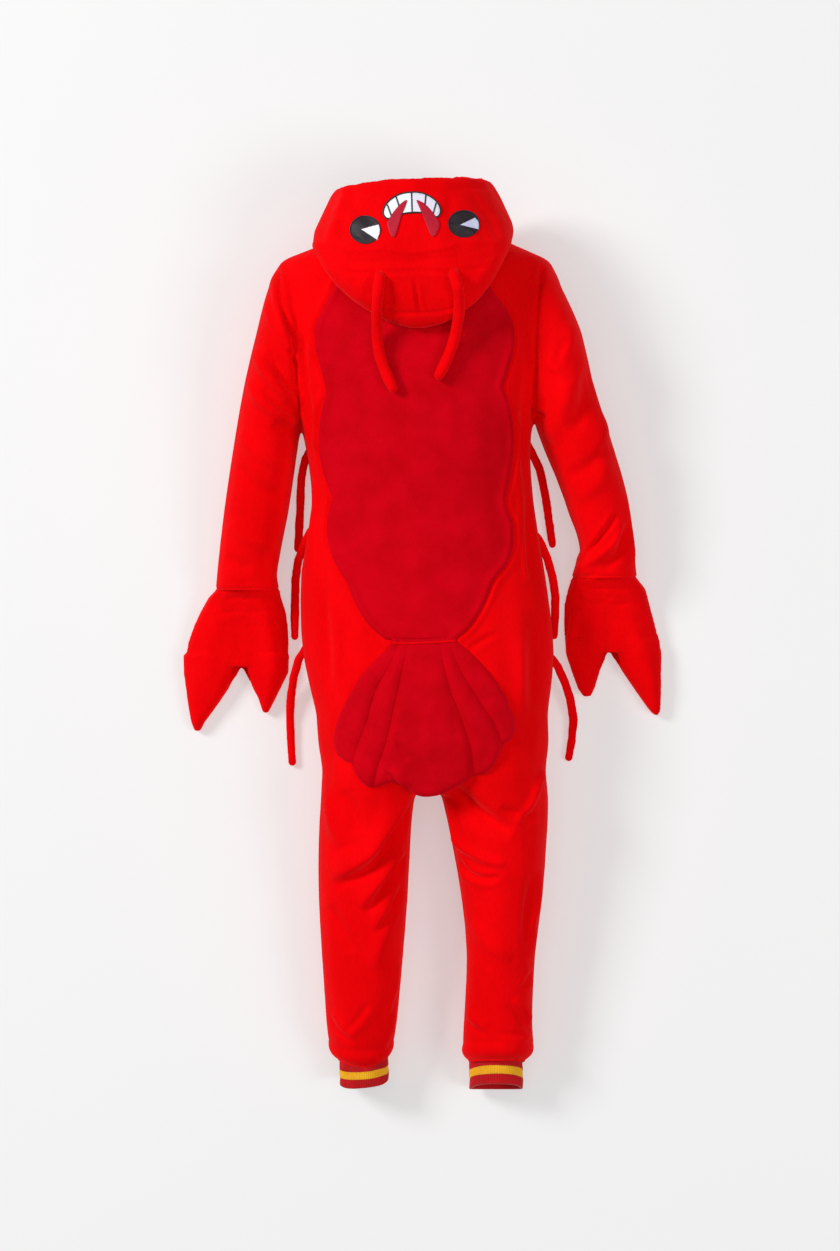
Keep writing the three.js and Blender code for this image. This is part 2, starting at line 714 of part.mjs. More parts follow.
const legCovers = ['left', 'right'].map((side) => loft(LEGS[side], { around: AROUND.limb, grow: GAP }));
const tail = [torsoCover, panelCover, ...legCovers].reduce((all, cover) => (
  all.subtract(cover)), tailFan());
addPiece('tail_fan', COLOURS.panel, tail);

// ------------------------------------------------------------------- antennae and side legs

['left', 'right'].forEach((side) => {
  const antenna = stuffedTube(ANTENNAE[side], ANTENNA_RADIUS, AROUND.antenna, ANTENNA_STEPS);
  const clear = antenna.subtract(hoodCover).subtract(panelCover).subtract(torsoCover);
  addPiece(`antenna_${side}`, COLOURS.plush, clear);
  SIDE_LEGS[side].forEach((points, i) => {
    const leg = stuffedTube(points, SIDE_LEG_RADIUS, AROUND.sideLeg, SIDE_LEG_STEPS);
    addPiece(`side_leg_${side}_${i + 1}`, COLOURS.plush, leg.subtract(torsoCover));
  });
});

// ------------------------------------------------------------------- face on the hood

const FACE_BASE = 205; // no part of the face hangs below this height
const FACE_SPAN = 80; // nor lies further than this from its centre along the suit

function facePrism(shape) {
  const geometry = new THREE.ExtrudeGeometry(shape, {
    depth: FACE_BASE,
    bevelEnabled: false,
    curveSegments: 4,
  });
  geometry.rotateZ(HOOD_TILT);
  geometry.translate(FACE_CENTRE[0], FACE_CENTRE[1], FACE_BASE);
  return toSolid(geometry);
}

// A skin over the hood between two heights above its plush
function hoodSkin(low, high) {
  const [under, over] = [low, high].map((grow) => loft(HOOD, { around: AROUND.hood, grow }));
  const reach = [FACE_CENTRE[1] - FACE_SPAN, FACE_CENTRE[1] + FACE_SPAN];
  return over.subtract(under).intersect(boxSolid([-FAR, FAR], reach, [FACE_BASE, FAR]));
}

const layerOne = hoodSkin(GAP, GAP + PATCH_THICKNESS);
const layerTwoFloor = 2 * GAP + PATCH_THICKNESS;
const layerTwo = hoodSkin(layerTwoFloor, layerTwoFloor + PATCH_THICKNESS);
const layerThreeFloor = layerTwoFloor + GAP + PATCH_THICKNESS;
const layerThree = hoodSkin(layerThreeFloor, layerThreeFloor + PATCH_THICKNESS);

function ellipseShape([x, y], [radiusX, radiusY]) {
  const shape = new THREE.Shape();
  shape.absellipse(x, y, radiusX, radiusY, 0, 2 * Math.PI);
  return shape;
}

function polygonShape(points) {
  return new THREE.Shape(points.map(([x, y]) => new THREE.Vector2(x, y)));
}

['left', 'right'].forEach((side) => {
  const centre = [side === 'left' ? -EYE_SPREAD : EYE_SPREAD, 0];
  const eye = facePrism(ellipseShape(centre, EYE_RADII));
  addPiece(`eye_${side}`, COLOURS.black, eye.intersect(layerOne));
  const { apex, rays } = GLINTS[side];
  const from = [centre[0] + apex[0], centre[1] + apex[1]];
  const ends = rays.map(THREE.MathUtils.degToRad).map((angle) => (
    [from[0] + GLINT_REACH * Math.cos(angle), from[1] + GLINT_REACH * Math.sin(angle)]));
  const wedge = facePrism(polygonShape([from, ends[1], ends[0]]));
  const inset = facePrism(ellipseShape(centre, EYE_RADII.map((radius) => radius - 1)));
  addPiece(`eye_glint_${side}`, COLOURS.white, wedge.intersect(inset).intersect(layerTwo));
});

// The mouth is a bean: a high arc above, a shallow dip below
function mouthShape(inset) {
  const { centre, radii, chin, dip } = MOUTH;
  const [x, y] = centre;
  const [radiusX, radiusY] = radii.map((radius) => radius - inset);
  const [chinX, chinY] = [chin[0] - inset / 2, chin[1] + inset];
  const shape = new THREE.Shape();
  shape.absellipse(x, y, radiusX, radiusY, 0, Math.PI);
  shape.quadraticCurveTo(x - radiusX, y + chinY, x - chinX, y + chinY);
  shape.quadraticCurveTo(x, y + chinY + 2 * dip, x + chinX, y + chinY);
  shape.quadraticCurveTo(x + radiusX, y + chinY, x + radiusX, y);
  return shape;
}

const mouth = facePrism(mouthShape(0));
const toothLines = TOOTH_LINES.map((offset) => {
  const x = MOUTH.centre[0] + offset;
  const half = MOUTH.line / 2;
  const lean = offset * TOOTH_LEAN;
  const [below, above] = [-1, 1].map((way) => MOUTH.centre[1] + 1.5 * way * MOUTH.radii[1]);
  return facePrism(polygonShape([
    [x + lean - half, below],
    [x + lean + half, below],
    [x - lean + half, above],
    [x - lean - half, above],
  ]));
});
const mouthInside = facePrism(mouthShape(MOUTH.line));
const mouthLine = toothLines
  .reduce((all, line) => all.add(line))
  .intersect(mouth)
  .add(mouth.subtract(mouthInside));
addPiece('mouth', COLOURS.white, mouth.intersect(layerOne));
addPiece('mouth_line', COLOURS.black, mouthLine.intersect(layerTwo));

['left', 'right'].forEach((side) => {
  const mirror = side === 'left' ? -1 : 1;
  const points = MANDIBLE.map(([x, y]) => [mirror * x, y]);
  const outline = side === 'left' ? points.reverse() : points;
  const mandible = facePrism(polygonShape(outline));
  addPiece(`mandible_${side}`, COLOURS.mandible, mandible.intersect(layerThree));
});

export default costume;
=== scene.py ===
"""Looks of the lobster costume: plush skins, panel, tail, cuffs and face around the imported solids.

Metres, +Z up. Folds, seams and patches are drawn in the photograph's pixels and thrown
from the camera onto the plush, so each one lies on the surface that carries it.
"""
import math

import bmesh
import bpy
import numpy as np
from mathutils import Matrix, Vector, noise
from mathutils.bvhtree import BVHTree


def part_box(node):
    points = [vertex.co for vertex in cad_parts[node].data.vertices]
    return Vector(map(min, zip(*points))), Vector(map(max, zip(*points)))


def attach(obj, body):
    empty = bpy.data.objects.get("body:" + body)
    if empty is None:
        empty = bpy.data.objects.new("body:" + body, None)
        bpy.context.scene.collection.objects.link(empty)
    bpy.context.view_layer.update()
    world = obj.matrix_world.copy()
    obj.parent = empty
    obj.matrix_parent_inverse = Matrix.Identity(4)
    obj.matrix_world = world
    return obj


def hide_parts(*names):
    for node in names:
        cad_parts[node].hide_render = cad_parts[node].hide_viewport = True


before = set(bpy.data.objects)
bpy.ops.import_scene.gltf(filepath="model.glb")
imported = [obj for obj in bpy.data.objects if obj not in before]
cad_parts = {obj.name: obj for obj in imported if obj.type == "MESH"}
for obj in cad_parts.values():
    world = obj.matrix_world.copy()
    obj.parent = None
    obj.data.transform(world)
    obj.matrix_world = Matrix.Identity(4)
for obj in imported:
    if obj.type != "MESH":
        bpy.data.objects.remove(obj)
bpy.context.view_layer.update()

MM = 0.001
BODY = "root"
SIDES = ("left", "right")
FLOOR_GAP = 0.4 * MM  # how far the plush stays above the floor
SKY = 2.0  # metres, above everything

# --- The photograph's frame

PHOTO_SIZE = (840, 1251)
CAMERA_AT = Vector((-0.004, 0.0275, 5.0))
SENSOR = 36.0  # mm along the photograph's height
PLANE_DISTANCE = 4.9  # from the camera to a plane 0.1 m above the floor
PIXEL = 1.7 * MM  # what a pixel spans in that plane


def metres_per_pixel(z):
    return PIXEL * (CAMERA_AT.z - z) / PLANE_DISTANCE


def to_photo(co):
    """Where the camera sees each point, in the photograph's pixels."""
    scale = metres_per_pixel(co[:, 2])
    across = PHOTO_SIZE[0] / 2 + (co[:, 0] - CAMERA_AT.x) / scale
    down = PHOTO_SIZE[1] / 2 - (co[:, 1] - CAMERA_AT.y) / scale
    return np.stack((across, down), axis=1)


def from_photo(px, py, z):
    """The point at height z that the camera sees at a photograph pixel."""
    scale = metres_per_pixel(z)
    x = CAMERA_AT.x + (px - PHOTO_SIZE[0] / 2) * scale
    return Vector((x, CAMERA_AT.y - (py - PHOTO_SIZE[1] / 2) * scale, z))


def throw(surface, px, py):
    """The point and normal that the camera sees on a surface at a photograph pixel."""
    aim = from_photo(px, py, 0.0)
    hit, normal, _, _ = surface.ray_cast(CAMERA_AT, (aim - CAMERA_AT).normalized())
    if hit is None:
        return aim, Vector((0, 0, 1))
    return hit, normal if normal.z > 0 else -normal


def look_down(surface, x, y):
    """The topmost point of a surface over a place on the floor, and the normal there."""
    return surface.ray_cast(Vector((x, y, SKY)), Vector((0, 0, -1)))[:2]


# --- Mesh helpers


def get_coords(obj):
    co = np.empty(len(obj.data.vertices) * 3)
    obj.data.vertices.foreach_get("co", co)
    return co.reshape(-1, 3)


def set_coords(obj, co):
    obj.data.vertices.foreach_set("co", np.ascontiguousarray(co).ravel())
    obj.data.update()


def get_normals(obj):
    normals = np.empty(len(obj.data.vertices) * 3, np.float32)
    obj.data.vertex_normals.foreach_get("vector", normals)
    return normals.reshape(-1, 3).astype(float)


def surface_of(obj):
    """A search tree over the object's faces."""
    polygons = [tuple(face.vertices) for face in obj.data.polygons]
    return BVHTree.FromPolygons([v.co for v in obj.data.vertices], polygons)


def new_object(name, mesh):
    obj = bpy.data.objects.new(name, mesh)
    bpy.context.scene.collection.objects.link(obj)
    return obj


def from_bmesh(name, bm):
    mesh = bpy.data.meshes.new(name)
    bm.to_mesh(mesh)
    bm.free()
    return new_object(name, mesh)


def apply_modifiers(obj):
    depsgraph = bpy.context.evaluated_depsgraph_get()
    mesh = bpy.data.meshes.new_from_object(obj.evaluated_get(depsgraph))
    old = obj.data
    obj.modifiers.clear()
    obj.data = mesh
    bpy.data.meshes.remove(old)
    return obj


def apply_modifier(obj, kind, **settings):
    modifier = obj.modifiers.new(kind.lower(), kind)
    for name, value in settings.items():
        setattr(modifier, name, value)
    return apply_modifiers(obj)


def remesh(obj, voxel):
    return apply_modifier(obj, "REMESH", mode="VOXEL", voxel_size=voxel)


def relax(obj, rounds):
    return apply_modifier(obj, "SMOOTH", iterations=rounds, factor=0.5)


def thicken(obj, thickness):
    return apply_modifier(obj, "SOLIDIFY", thickness=thickness, offset=-1.0, use_quality_normals=True)


def soften(obj, rounds):
    """Smooth without shrinking: each pass inwards is followed by one outwards."""
    mesh = obj.data
    edges = np.empty(len(mesh.edges) * 2, np.int32)
    mesh.edges.foreach_get("vertices", edges)
    first, second = edges.reshape(-1, 2).T
    count = len(mesh.vertices)
    links = np.bincount(first, minlength=count) + np.bincount(second, minlength=count)
    co = get_coords(obj)
    for factor in (0.5, -0.52) * rounds:
        sums = [
            np.bincount(first, co[second, axis], count) + np.bincount(second, co[first, axis], count)
            for axis in range(3)
        ]
        co += factor * (np.stack(sums, axis=1) / links[:, None] - co)
    set_coords(obj, co)


def keep_largest(obj):
    """Delete every part of a mesh but its largest, such as linings and scraps."""
    bm = bmesh.new()
    bm.from_mesh(obj.data)
    unseen = set(bm.verts)
    largest = set()
    while unseen:
        part = set()
        stack = [unseen.pop()]
        while stack:
            vert = stack.pop()
            part.add(vert)
            near = {edge.other_vert(vert) for edge in vert.link_edges} & unseen
            unseen -= near
            stack += near
        largest = max(largest, part, key=len)
    bmesh.ops.delete(bm, geom=[v for v in bm.verts if v not in largest], context="VERTS")
    bm.to_mesh(obj.data)
    bm.free()
    return obj


def clip_to_floor(obj):
    co = get_coords(obj)
    co[:, 2] = np.maximum(co[:, 2], FLOOR_GAP)
    set_coords(obj, co)


def join_rings(bm, rings, closed):
    """Faces from each ring of vertices to the next, and from the last to the first if closed."""
    for a, b in zip(rings, rings[1:] + rings[:1] if closed else rings[1:]):
        for k in range(len(a)):
            m = (k + 1) % len(a)
            bm.faces.new((a[k], a[m], b[m], b[k]))


def soft_noise(co, scale, seed):
    """Smooth noise from -1 to 1, whose features are about scale metres wide."""
    shift = Vector((seed * 3.1, seed * 5.7, seed * 1.3))
    return np.array([noise.noise(Vector(p) / scale + shift) for p in co])


def bell(distance, width):
    return np.exp(-((distance / width) ** 2))


def step(value, low, high):
    share = np.clip((value - low) / (high - low), 0.0, 1.0)
    return share * share * (3 - 2 * share)


# --- Folds drawn on the plush


def beside(points, line):
    """Distance in pixels from a drawn line, positive on its right, and the share along it."""
    best = np.full(len(points), np.inf)
    side = np.zeros(len(points))
    share = np.zeros(len(points))
    line = np.array(line, float)
    lengths = np.linalg.norm(line[1:] - line[:-1], axis=1)
    walked = 0.0
    for start, end, length in zip(line[:-1], line[1:], lengths):
        along = (end - start) / length
        offset = points - start
        reach = offset @ along
        held = np.clip(reach, 0, length)
        gap = np.linalg.norm(offset - held[:, None] * along, axis=1)
        nearer = gap < best
        best[nearer] = gap[nearer]
        cross = along[0] * offset[:, 1] - along[1] * offset[:, 0]
        side[nearer] = np.sign(cross[nearer])
        share[nearer] = ((walked + held) / lengths.sum())[nearer]
        walked += length
    return best * np.where(side == 0, 1, side), share


def catmull(p, q, r, s, steps):
    """Points of a Catmull-Rom curve from q up to r, between its neighbours p and s."""
    for k in range(steps):
        t = k / steps
        yield tuple(
            0.5 * (2 * b + (c - a) * t + (2 * a - 5 * b + 4 * c - d) * t ** 2
                   + (3 * b - a - 3 * c + d) * t ** 3)
            for a, b, c, d in zip(p, q, r, s)
        )


def smooth_line(points):
    """A smooth line through a few given points."""
    held = [points[0], *points, points[-1]]
    line = []
    for stretch in zip(held, held[1:], held[2:], held[3:]):
        line += catmull(*stretch, steps=6)
    return line + [tuple(points[-1])]


def closed_outline(points):
    """A smooth closed line through the points of an outline."""
    line = []
    for i in range(len(points)):
        line += catmull(*(points[(i + k) % len(points)] for k in (-1, 0, 1, 2)), steps=5)
    return line


def crease(gap, width):
    """A narrow valley between two soft shoulders."""
    shoulders = bell(np.abs(gap) - 1.9 * width, width)
    return 0.45 * shoulders - bell(gap, width)


def tuck(gap, width):
    """A roll of cloth that falls steeply into a valley on the right of its line."""
    roll = np.where(gap < 0, bell(gap, 2.2 * width), bell(gap, 0.8 * width))
    return roll - 0.75 * bell(gap - 1.7 * width, 0.9 * width)


def valley(gap, width):
    return -bell(gap, width)


ridge = bell


def fold_heights(co, folds):
    """Height in metres that the drawn folds add at each point, seen from the camera."""
    seen = to_photo(co)
    total = np.zeros(len(co))
    for shape, height, width, *points in folds:
        line = smooth_line(points)
        reach = 5 * width
        low = np.min(line, axis=0) - reach
        high = np.max(line, axis=0) + reach
        near = np.all((seen > low) & (seen < high), axis=1)
        if not near.any():
            continue
        gap, share = beside(seen[near], line)
        ends = np.sin(math.pi * np.clip(share, 0, 1)) ** 0.6
        outside = bell(np.maximum(0, np.abs(gap) - 4 * width), width)
        total[near] += height * MM * shape(gap, width) * ends * outside
    return total


def push(obj, heights, fade=(0.05, 0.5)):
    """Move each point along its normal, fading out where the surface turns from the camera."""
    co = get_coords(obj)
    normals = get_normals(obj)
    up = step(normals[:, 2], *fade)
    set_coords(obj, co + normals * (heights * up)[:, None])


# --- Materials


class Recipe:
    """A material while it is made: its nodes, its links and its shader."""

    def __init__(self, name):
        self.material = bpy.data.materials.new(name)
        self.material.use_nodes = True
        self.tree = self.material.node_tree
        self.where = self.add("ShaderNodeTexCoord", {}).outputs["Object"]

    def fill(self, node, inputs):
        for name, value in inputs.items():
            if isinstance(value, bpy.types.NodeSocket):
                self.tree.links.new(value, node.inputs[name])
            else:
                node.inputs[name].default_value = value
        return node

    def add(self, kind, inputs):
        return self.fill(self.tree.nodes.new(kind), inputs)

    def noise(self, scale, detail=2.0, roughness=0.6, stretch=(1, 1, 1)):
        placed = self.add("ShaderNodeMapping", {
            "Scale": [scale * s for s in stretch], "Vector": self.where})
        return self.add("ShaderNodeTexNoise", {
            "Scale": 1.0, "Detail": detail, "Roughness": roughness,
            "Vector": placed.outputs["Vector"]}).outputs["Fac"]

    def ramp(self, factor, low, high, dark, light):
        node = self.add("ShaderNodeValToRGB", {"Fac": factor})
        for stop, position, colour in zip(node.color_ramp.elements, (low, high), (dark, light)):
            stop.position = position
            stop.color = (*colour, 1)
        return node.outputs["Color"]

    def mix(self, factor, first, second, mode="MIX"):
        node = self.add("ShaderNodeMix", {"Factor": factor})
        node.data_type = "RGBA"
        node.blend_type = mode
        self.tree.links.new(first, node.inputs[6])
        self.tree.links.new(second, node.inputs[7])
        return node.outputs[2]

    def bump(self, height, strength, distance, below=None):
        inputs = {"Strength": strength, "Distance": distance, "Height": height}
        if below is not None:
            inputs["Normal"] = below
        return self.add("ShaderNodeBump", inputs).outputs["Normal"]

    def finish(self, colour, **settings):
        """The material, with its colour and the settings of its shader, _ for a space."""
        inputs = {name.replace("_", " "): value for name, value in settings.items()}
        self.fill(self.tree.nodes["Principled BSDF"], {"Base Color": colour, **inputs})
        return self.material


def plush_material(name, deep, bright, sheen, nap=(1, 0.35, 1)):
    """Short-pile plush: brushed patches, clumped nap and a soft sheen of its own colour."""
    recipe = Recipe(name)
    brushed = recipe.noise(14, 3.0, 0.55, nap)
    clumps = recipe.noise(240, stretch=nap)
    pile = recipe.noise(900)
    broad = recipe.ramp(brushed, 0.34, 0.66, deep, bright)
    shade = recipe.ramp(clumps, 0.3, 0.7, (0.93,) * 3, (1.0,) * 3)
    coarse = recipe.bump(clumps, 0.35, 0.6 * MM)
    return recipe.finish(
        recipe.mix(1.0, broad, shade, "MULTIPLY"), Normal=recipe.bump(pile, 0.5, 0.35 * MM, coarse),
        Roughness=0.92, Specular_IOR_Level=0.03, Sheen_Weight=0.8, Sheen_Roughness=0.4,
        Sheen_Tint=(*sheen, 1))


def knit_material(name, dark, light):
    """Rib knit: rows across the ribs, fuzzy threads and slight unevenness."""
    recipe = Recipe(name)
    wave = recipe.add("ShaderNodeTexWave", {
        "Scale": 190, "Distortion": 1.5, "Detail": 1.0, "Vector": recipe.where})
    wave.wave_type = "BANDS"
    wave.bands_direction = "Y"
    rows = wave.outputs["Color"]
    broad = recipe.ramp(recipe.noise(45, 2.0, 0.5), 0.3, 0.7, dark, light)
    shade = recipe.ramp(rows, 0.0, 1.0, (0.8,) * 3, (1.0,) * 3)
    stitches = recipe.bump(rows, 0.5, 0.5 * MM)
    threads = recipe.bump(recipe.noise(1100), 0.4, 0.3 * MM, stitches)
    return recipe.finish(
        recipe.mix(1.0, broad, shade, "MULTIPLY"), Normal=threads,
        Roughness=0.85, Specular_IOR_Level=0.15, Sheen_Weight=0.2)


def stitched_material(name, dark, light):
    """Embroidery: close satin threads that catch a little light."""
    recipe = Recipe(name)
    threads = recipe.noise(520, stretch=(1, 0.12, 1))
    uneven = recipe.noise(60, 2.0, 0.5)
    mixed = recipe.mix(
        0.5, recipe.ramp(threads, 0.3, 0.7, dark, light), recipe.ramp(uneven, 0.3, 0.7, dark, light))
    return recipe.finish(
        mixed, Normal=recipe.bump(threads, 0.6, 0.3 * MM), Roughness=0.5, Specular_IOR_Level=0.3)


# Each finish: its material, and the record's slot that it belongs to
PLUSH = plush_material(
    "plush", (0.81, 0.0002, 0.0016), (0.93, 0.0004, 0.0026), (1.0, 0.04, 0.045)), "plush"
DARK_PLUSH = plush_material(
    "dark_plush", (0.55, 0.0002, 0.0048), (0.64, 0.0004, 0.0076), (0.9, 0.01, 0.04),
    nap=(1.6, 1.6, 1)), "dark_plush"
RIB = knit_material("rib_knit", (0.52, 0.001, 0.004), (0.66, 0.001, 0.006)), "rib_knit"
STRIPE = knit_material("stripe_knit", (0.93, 0.44, 0.008), (1.0, 0.55, 0.016)), "stripe_knit"
BLACK = stitched_material("black_felt", (0.014, 0.009, 0.012), (0.030, 0.020, 0.026)), "black_felt"
WHITE = stitched_material("white_felt", (0.82, 0.89, 0.94), (0.92, 0.95, 0.98)), "white_felt"
# White felt with painted shade, darker and bluer, laid over the right half of the teeth
WHITE_PAINTED_SHADE = stitched_material("white_felt_painted_shade", (0.76, 0.74, 0.88), (0.86, 0.83, 0.94)), "white_felt"
# White felt with deeper painted shade, darker and bluer, for the glint of the right eye
WHITE_PAINTED_DEEP_SHADE = stitched_material("white_felt_painted_deep_shade", (0.58, 0.60, 0.86), (0.72, 0.74, 0.93)), "white_felt"
MANDIBLE = stitched_material("mandible_felt", (0.42, 0.002, 0.018), (0.56, 0.005, 0.030)), "mandible_felt"


def finish_piece(obj, finish, *nodes, padded=None):
    """Give a piece its material and its ties to the frame."""
    material, slot = finish
    obj.data.materials.clear()
    obj.data.materials.append(material)
    obj.data.polygons.foreach_set("use_smooth", [True] * len(obj.data.polygons))
    obj.data.update()
    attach(obj, BODY)
    if nodes:
        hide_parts(*nodes)


def cord_mesh(name, lines, radius, flat=1.0, closed=False, sides=8):
    """Cords along lines of points and normals, flattened along the normals."""
    turns = [2 * math.pi * k / sides for k in range(sides)]
    bm = bmesh.new()
    for spots in lines:
        count = len(spots)
        rings = []
        for i, (centre, normal) in enumerate(spots):
            before = spots[(i - 1) % count if closed else max(i - 1, 0)][0]
            after = spots[(i + 1) % count if closed else min(i + 1, count - 1)][0]
            across = (after - before).cross(normal).normalized()
            rings.append([
                bm.verts.new(centre + radius * (across * math.cos(t) + normal * (flat * math.sin(t))))
                for t in turns
            ])
        join_rings(bm, rings, closed)
        if not closed:
            bm.faces.new(rings[0])
            bm.faces.new(rings[-1][::-1])
    bmesh.ops.recalc_face_normals(bm, faces=bm.faces)
    return from_bmesh(name, bm)


# --- The suit's skin

SUIT_NODES = ("torso", *(f"{limb}_{side}" for limb in ("sleeve", "forearm", "leg") for side in SIDES))
SUIT_VOXEL = 3.8 * MM
CLOTH = 4.5 * MM
PLUG = 0.03  # how far an open end is lengthened, then cut square again
END_DEPTH = 15 * MM  # how far back from an open end its faces are looked for
CUT_REACH = 2 * PLUG
CUT_MARGIN = 8 * MM
# For each node with an open end: a point and the normal of the plane that it is cut at, and
# the end's lowest and highest x
END_CUTS = {}

# Armhole seams from the shoulder to the underarm, in photograph pixels
ARMHOLES = {
    "left": [(277, 268), (280, 290), (283, 312), (292, 336), (295, 358), (299, 395), (303, 434)],
    "right": [(541, 270), (539, 299), (538, 327), (537, 352), (536, 380), (533, 418)],
}
ARMHOLE_SEAM = (5.0, 1.8)  # depth in mm, width in pixels


def add_plug(bm, node, direction):
    """Lengthen a node's open end by a closed plug, and note where to cut it again."""
    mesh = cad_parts[node].data
    facing = [f for f in mesh.polygons if f.normal.dot(direction) > 0.9]
    furthest = max(f.center.dot(direction) for f in facing)
    ring = [f for f in facing if f.center.dot(direction) > furthest - END_DEPTH]
    points = [mesh.vertices[v].co.copy() for v in {v for face in ring for v in face.vertices}]
    verts = [bm.verts.new(p + way * PLUG * direction) for p in points for way in (-0.1, 1.0)]
    hull = bmesh.ops.convex_hull(bm, input=verts)
    loose = dict.fromkeys(v for v in hull["geom_interior"] if isinstance(v, bmesh.types.BMVert))
    bmesh.ops.delete(bm, geom=list(loose), context="VERTS")
    centre = sum((face.center * face.area for face in ring), Vector()) / sum(f.area for f in ring)
    normal = sum((face.normal * face.area for face in ring), Vector()).normalized()
    END_CUTS[node] = (centre, normal, min(p.x for p in points), max(p.x for p in points))


def from_nodes(name, nodes, voxel, rounds, plugs=()):
    """A fine, relaxed skin over the solids of some nodes, without linings that plugs seal."""
    bm = bmesh.new()
    for node in nodes:
        bm.from_mesh(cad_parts[node].data)
    for node, direction in plugs:
        add_plug(bm, node, direction)
    return relax(keep_largest(remesh(from_bmesh(name, bm), voxel)), rounds)


def cut_end(obj, node):
    """Cut a lengthened end square at the node's own end plane."""
    centre, normal, left, right = END_CUTS[node]
    bm = bmesh.new()
    bm.from_mesh(obj.data)
    faces = []
    for face in bm.faces:
        middle = face.calc_center_median()
        across = left - CUT_MARGIN < middle.x < right + CUT_MARGIN
        if across and abs((middle - centre).dot(normal)) < CUT_REACH:
            faces.append(face)
    verts = dict.fromkeys(v for face in faces for v in face.verts)
    edges = dict.fromkeys(e for face in faces for e in face.edges)
    bmesh.ops.bisect_plane(
        bm, geom=[*verts, *edges, *faces], dist=1e-6, plane_co=centre, plane_no=normal,
        clear_outer=True)
    bm.to_mesh(obj.data)
    bm.free()


# Edges of the panel, mm across and along the suit, one list for each lobe
PANEL_LEFT = [
    [(-129, 630), (-142, 605), (-160, 568), (-178, 532), (-180, 508), (-178, 487), (-164, 435),
     (-162, 414)],
    [(-162, 414), (-172, 370), (-174, 321), (-166, 281), (-152, 244)],
    [(-152, 244), (-160, 208), (-160, 175), (-148, 135), (-126, 98), (-113, 66), (-91, 30),
     (-63, 5), (-51, 2)],
]
PANEL_RIGHT = [
    [(93, 630), (115, 590), (138, 560), (152, 532), (154, 495), (144, 455), (134, 426)],
    [(134, 426), (144, 403), (152, 370), (154, 329), (148, 281), (140, 240)],
    [(140, 240), (144, 220), (152, 200), (152, 159), (140, 127), (120, 103), (103, 62), (79, 25), (54, 3)],
]

# Folds of the suit: shape, height in mm, width and line in photograph pixels
SLEEVE_FOLDS = [
    (ridge, 6, 4, (276, 276), (278, 300), (282, 322), (288, 344), (292, 362)),
    (crease, 5, 2.4, (283, 312), (287, 325), (293, 336)),
    (crease, 5, 2.4, (286, 349), (291, 355), (296, 364)),
    (ridge, 4, 4, (262, 292), (270, 316), (280, 338), (289, 352)),
    (ridge, 9, 6, (253, 348), (262, 364), (274, 382), (286, 396), (299, 409)),
    (valley, 7, 6, (268, 352), (280, 372), (292, 388), (300, 398)),
    (valley, 7, 5, (264, 388), (276, 402), (290, 411), (300, 417)),
    (ridge, 8, 6, (248, 378), (258, 397), (274, 411), (296, 424)),
    (valley, 5, 6, (272, 424), (285, 430), (298, 436)),
    (ridge, 5, 8, (240, 430), (252, 448), (275, 462), (292, 466)),
    (valley, 5, 7, (238, 466), (252, 484), (272, 494), (290, 492)),
    (ridge, 4, 7, (232, 520), (245, 536), (262, 544), (276, 540)),
    (valley, 4, 5, (264, 552), (272, 562), (278, 574)),
    (valley, 4, 6, (226, 556), (240, 566), (252, 568)),
    (valley, 5, 5, (566, 338), (560, 352), (556, 368)),
    (ridge, 5, 8, (572, 322), (566, 345), (550, 372)),
    (crease, 6, 3, (533, 413), (539, 414), (546, 418)),
    (valley, 10, 10, (592, 366), (588, 395), (581, 417), (572, 434)),
    (ridge, 8, 10, (568, 378), (564, 400), (556, 425), (548, 440)),
    (ridge, 6, 8, (606, 385), (607, 410), (601, 438), (590, 456)),
    (valley, 5, 7, (606, 448), (590, 466), (568, 478)),
    (ridge, 5, 8, (608, 462), (596, 484), (578, 500)),
]
BODY_FOLDS = [
    (ridge, 5, 4, (311, 335), (311, 360), (314, 385), (318, 412), (317, 450)),
    (valley, 5, 4, (303, 330), (304, 365), (308, 400), (311, 440)),
    (ridge, 3, 3, (297, 335), (299, 372), (302, 410), (306, 440)),
    (valley, 5, 5, (527, 330), (529, 380), (524, 430), (523, 480)),
    (ridge, 4, 5, (518, 410), (517, 450), (519, 500), (525, 560)),
    (valley, 4, 5, (529, 490), (529, 540), (533, 590)),
    (ridge, 3, 3, (521, 540), (524, 560), (528, 584)),
    (ridge, 4, 7, (311, 480), (312, 530), (307, 575)),
    (valley, 4, 6, (320, 560), (324, 600), (327, 640), (330, 690)),
    (ridge, 4, 6, (332, 600), (336, 640), (336, 690)),
    (valley, 5, 8, (536, 610), (534, 660), (532, 710)),
    (ridge, 4, 7, (520, 640), (522, 680), (524, 720)),
    (crease, 2.5, 3, (468, 650), (484, 640), (498, 634)),
]
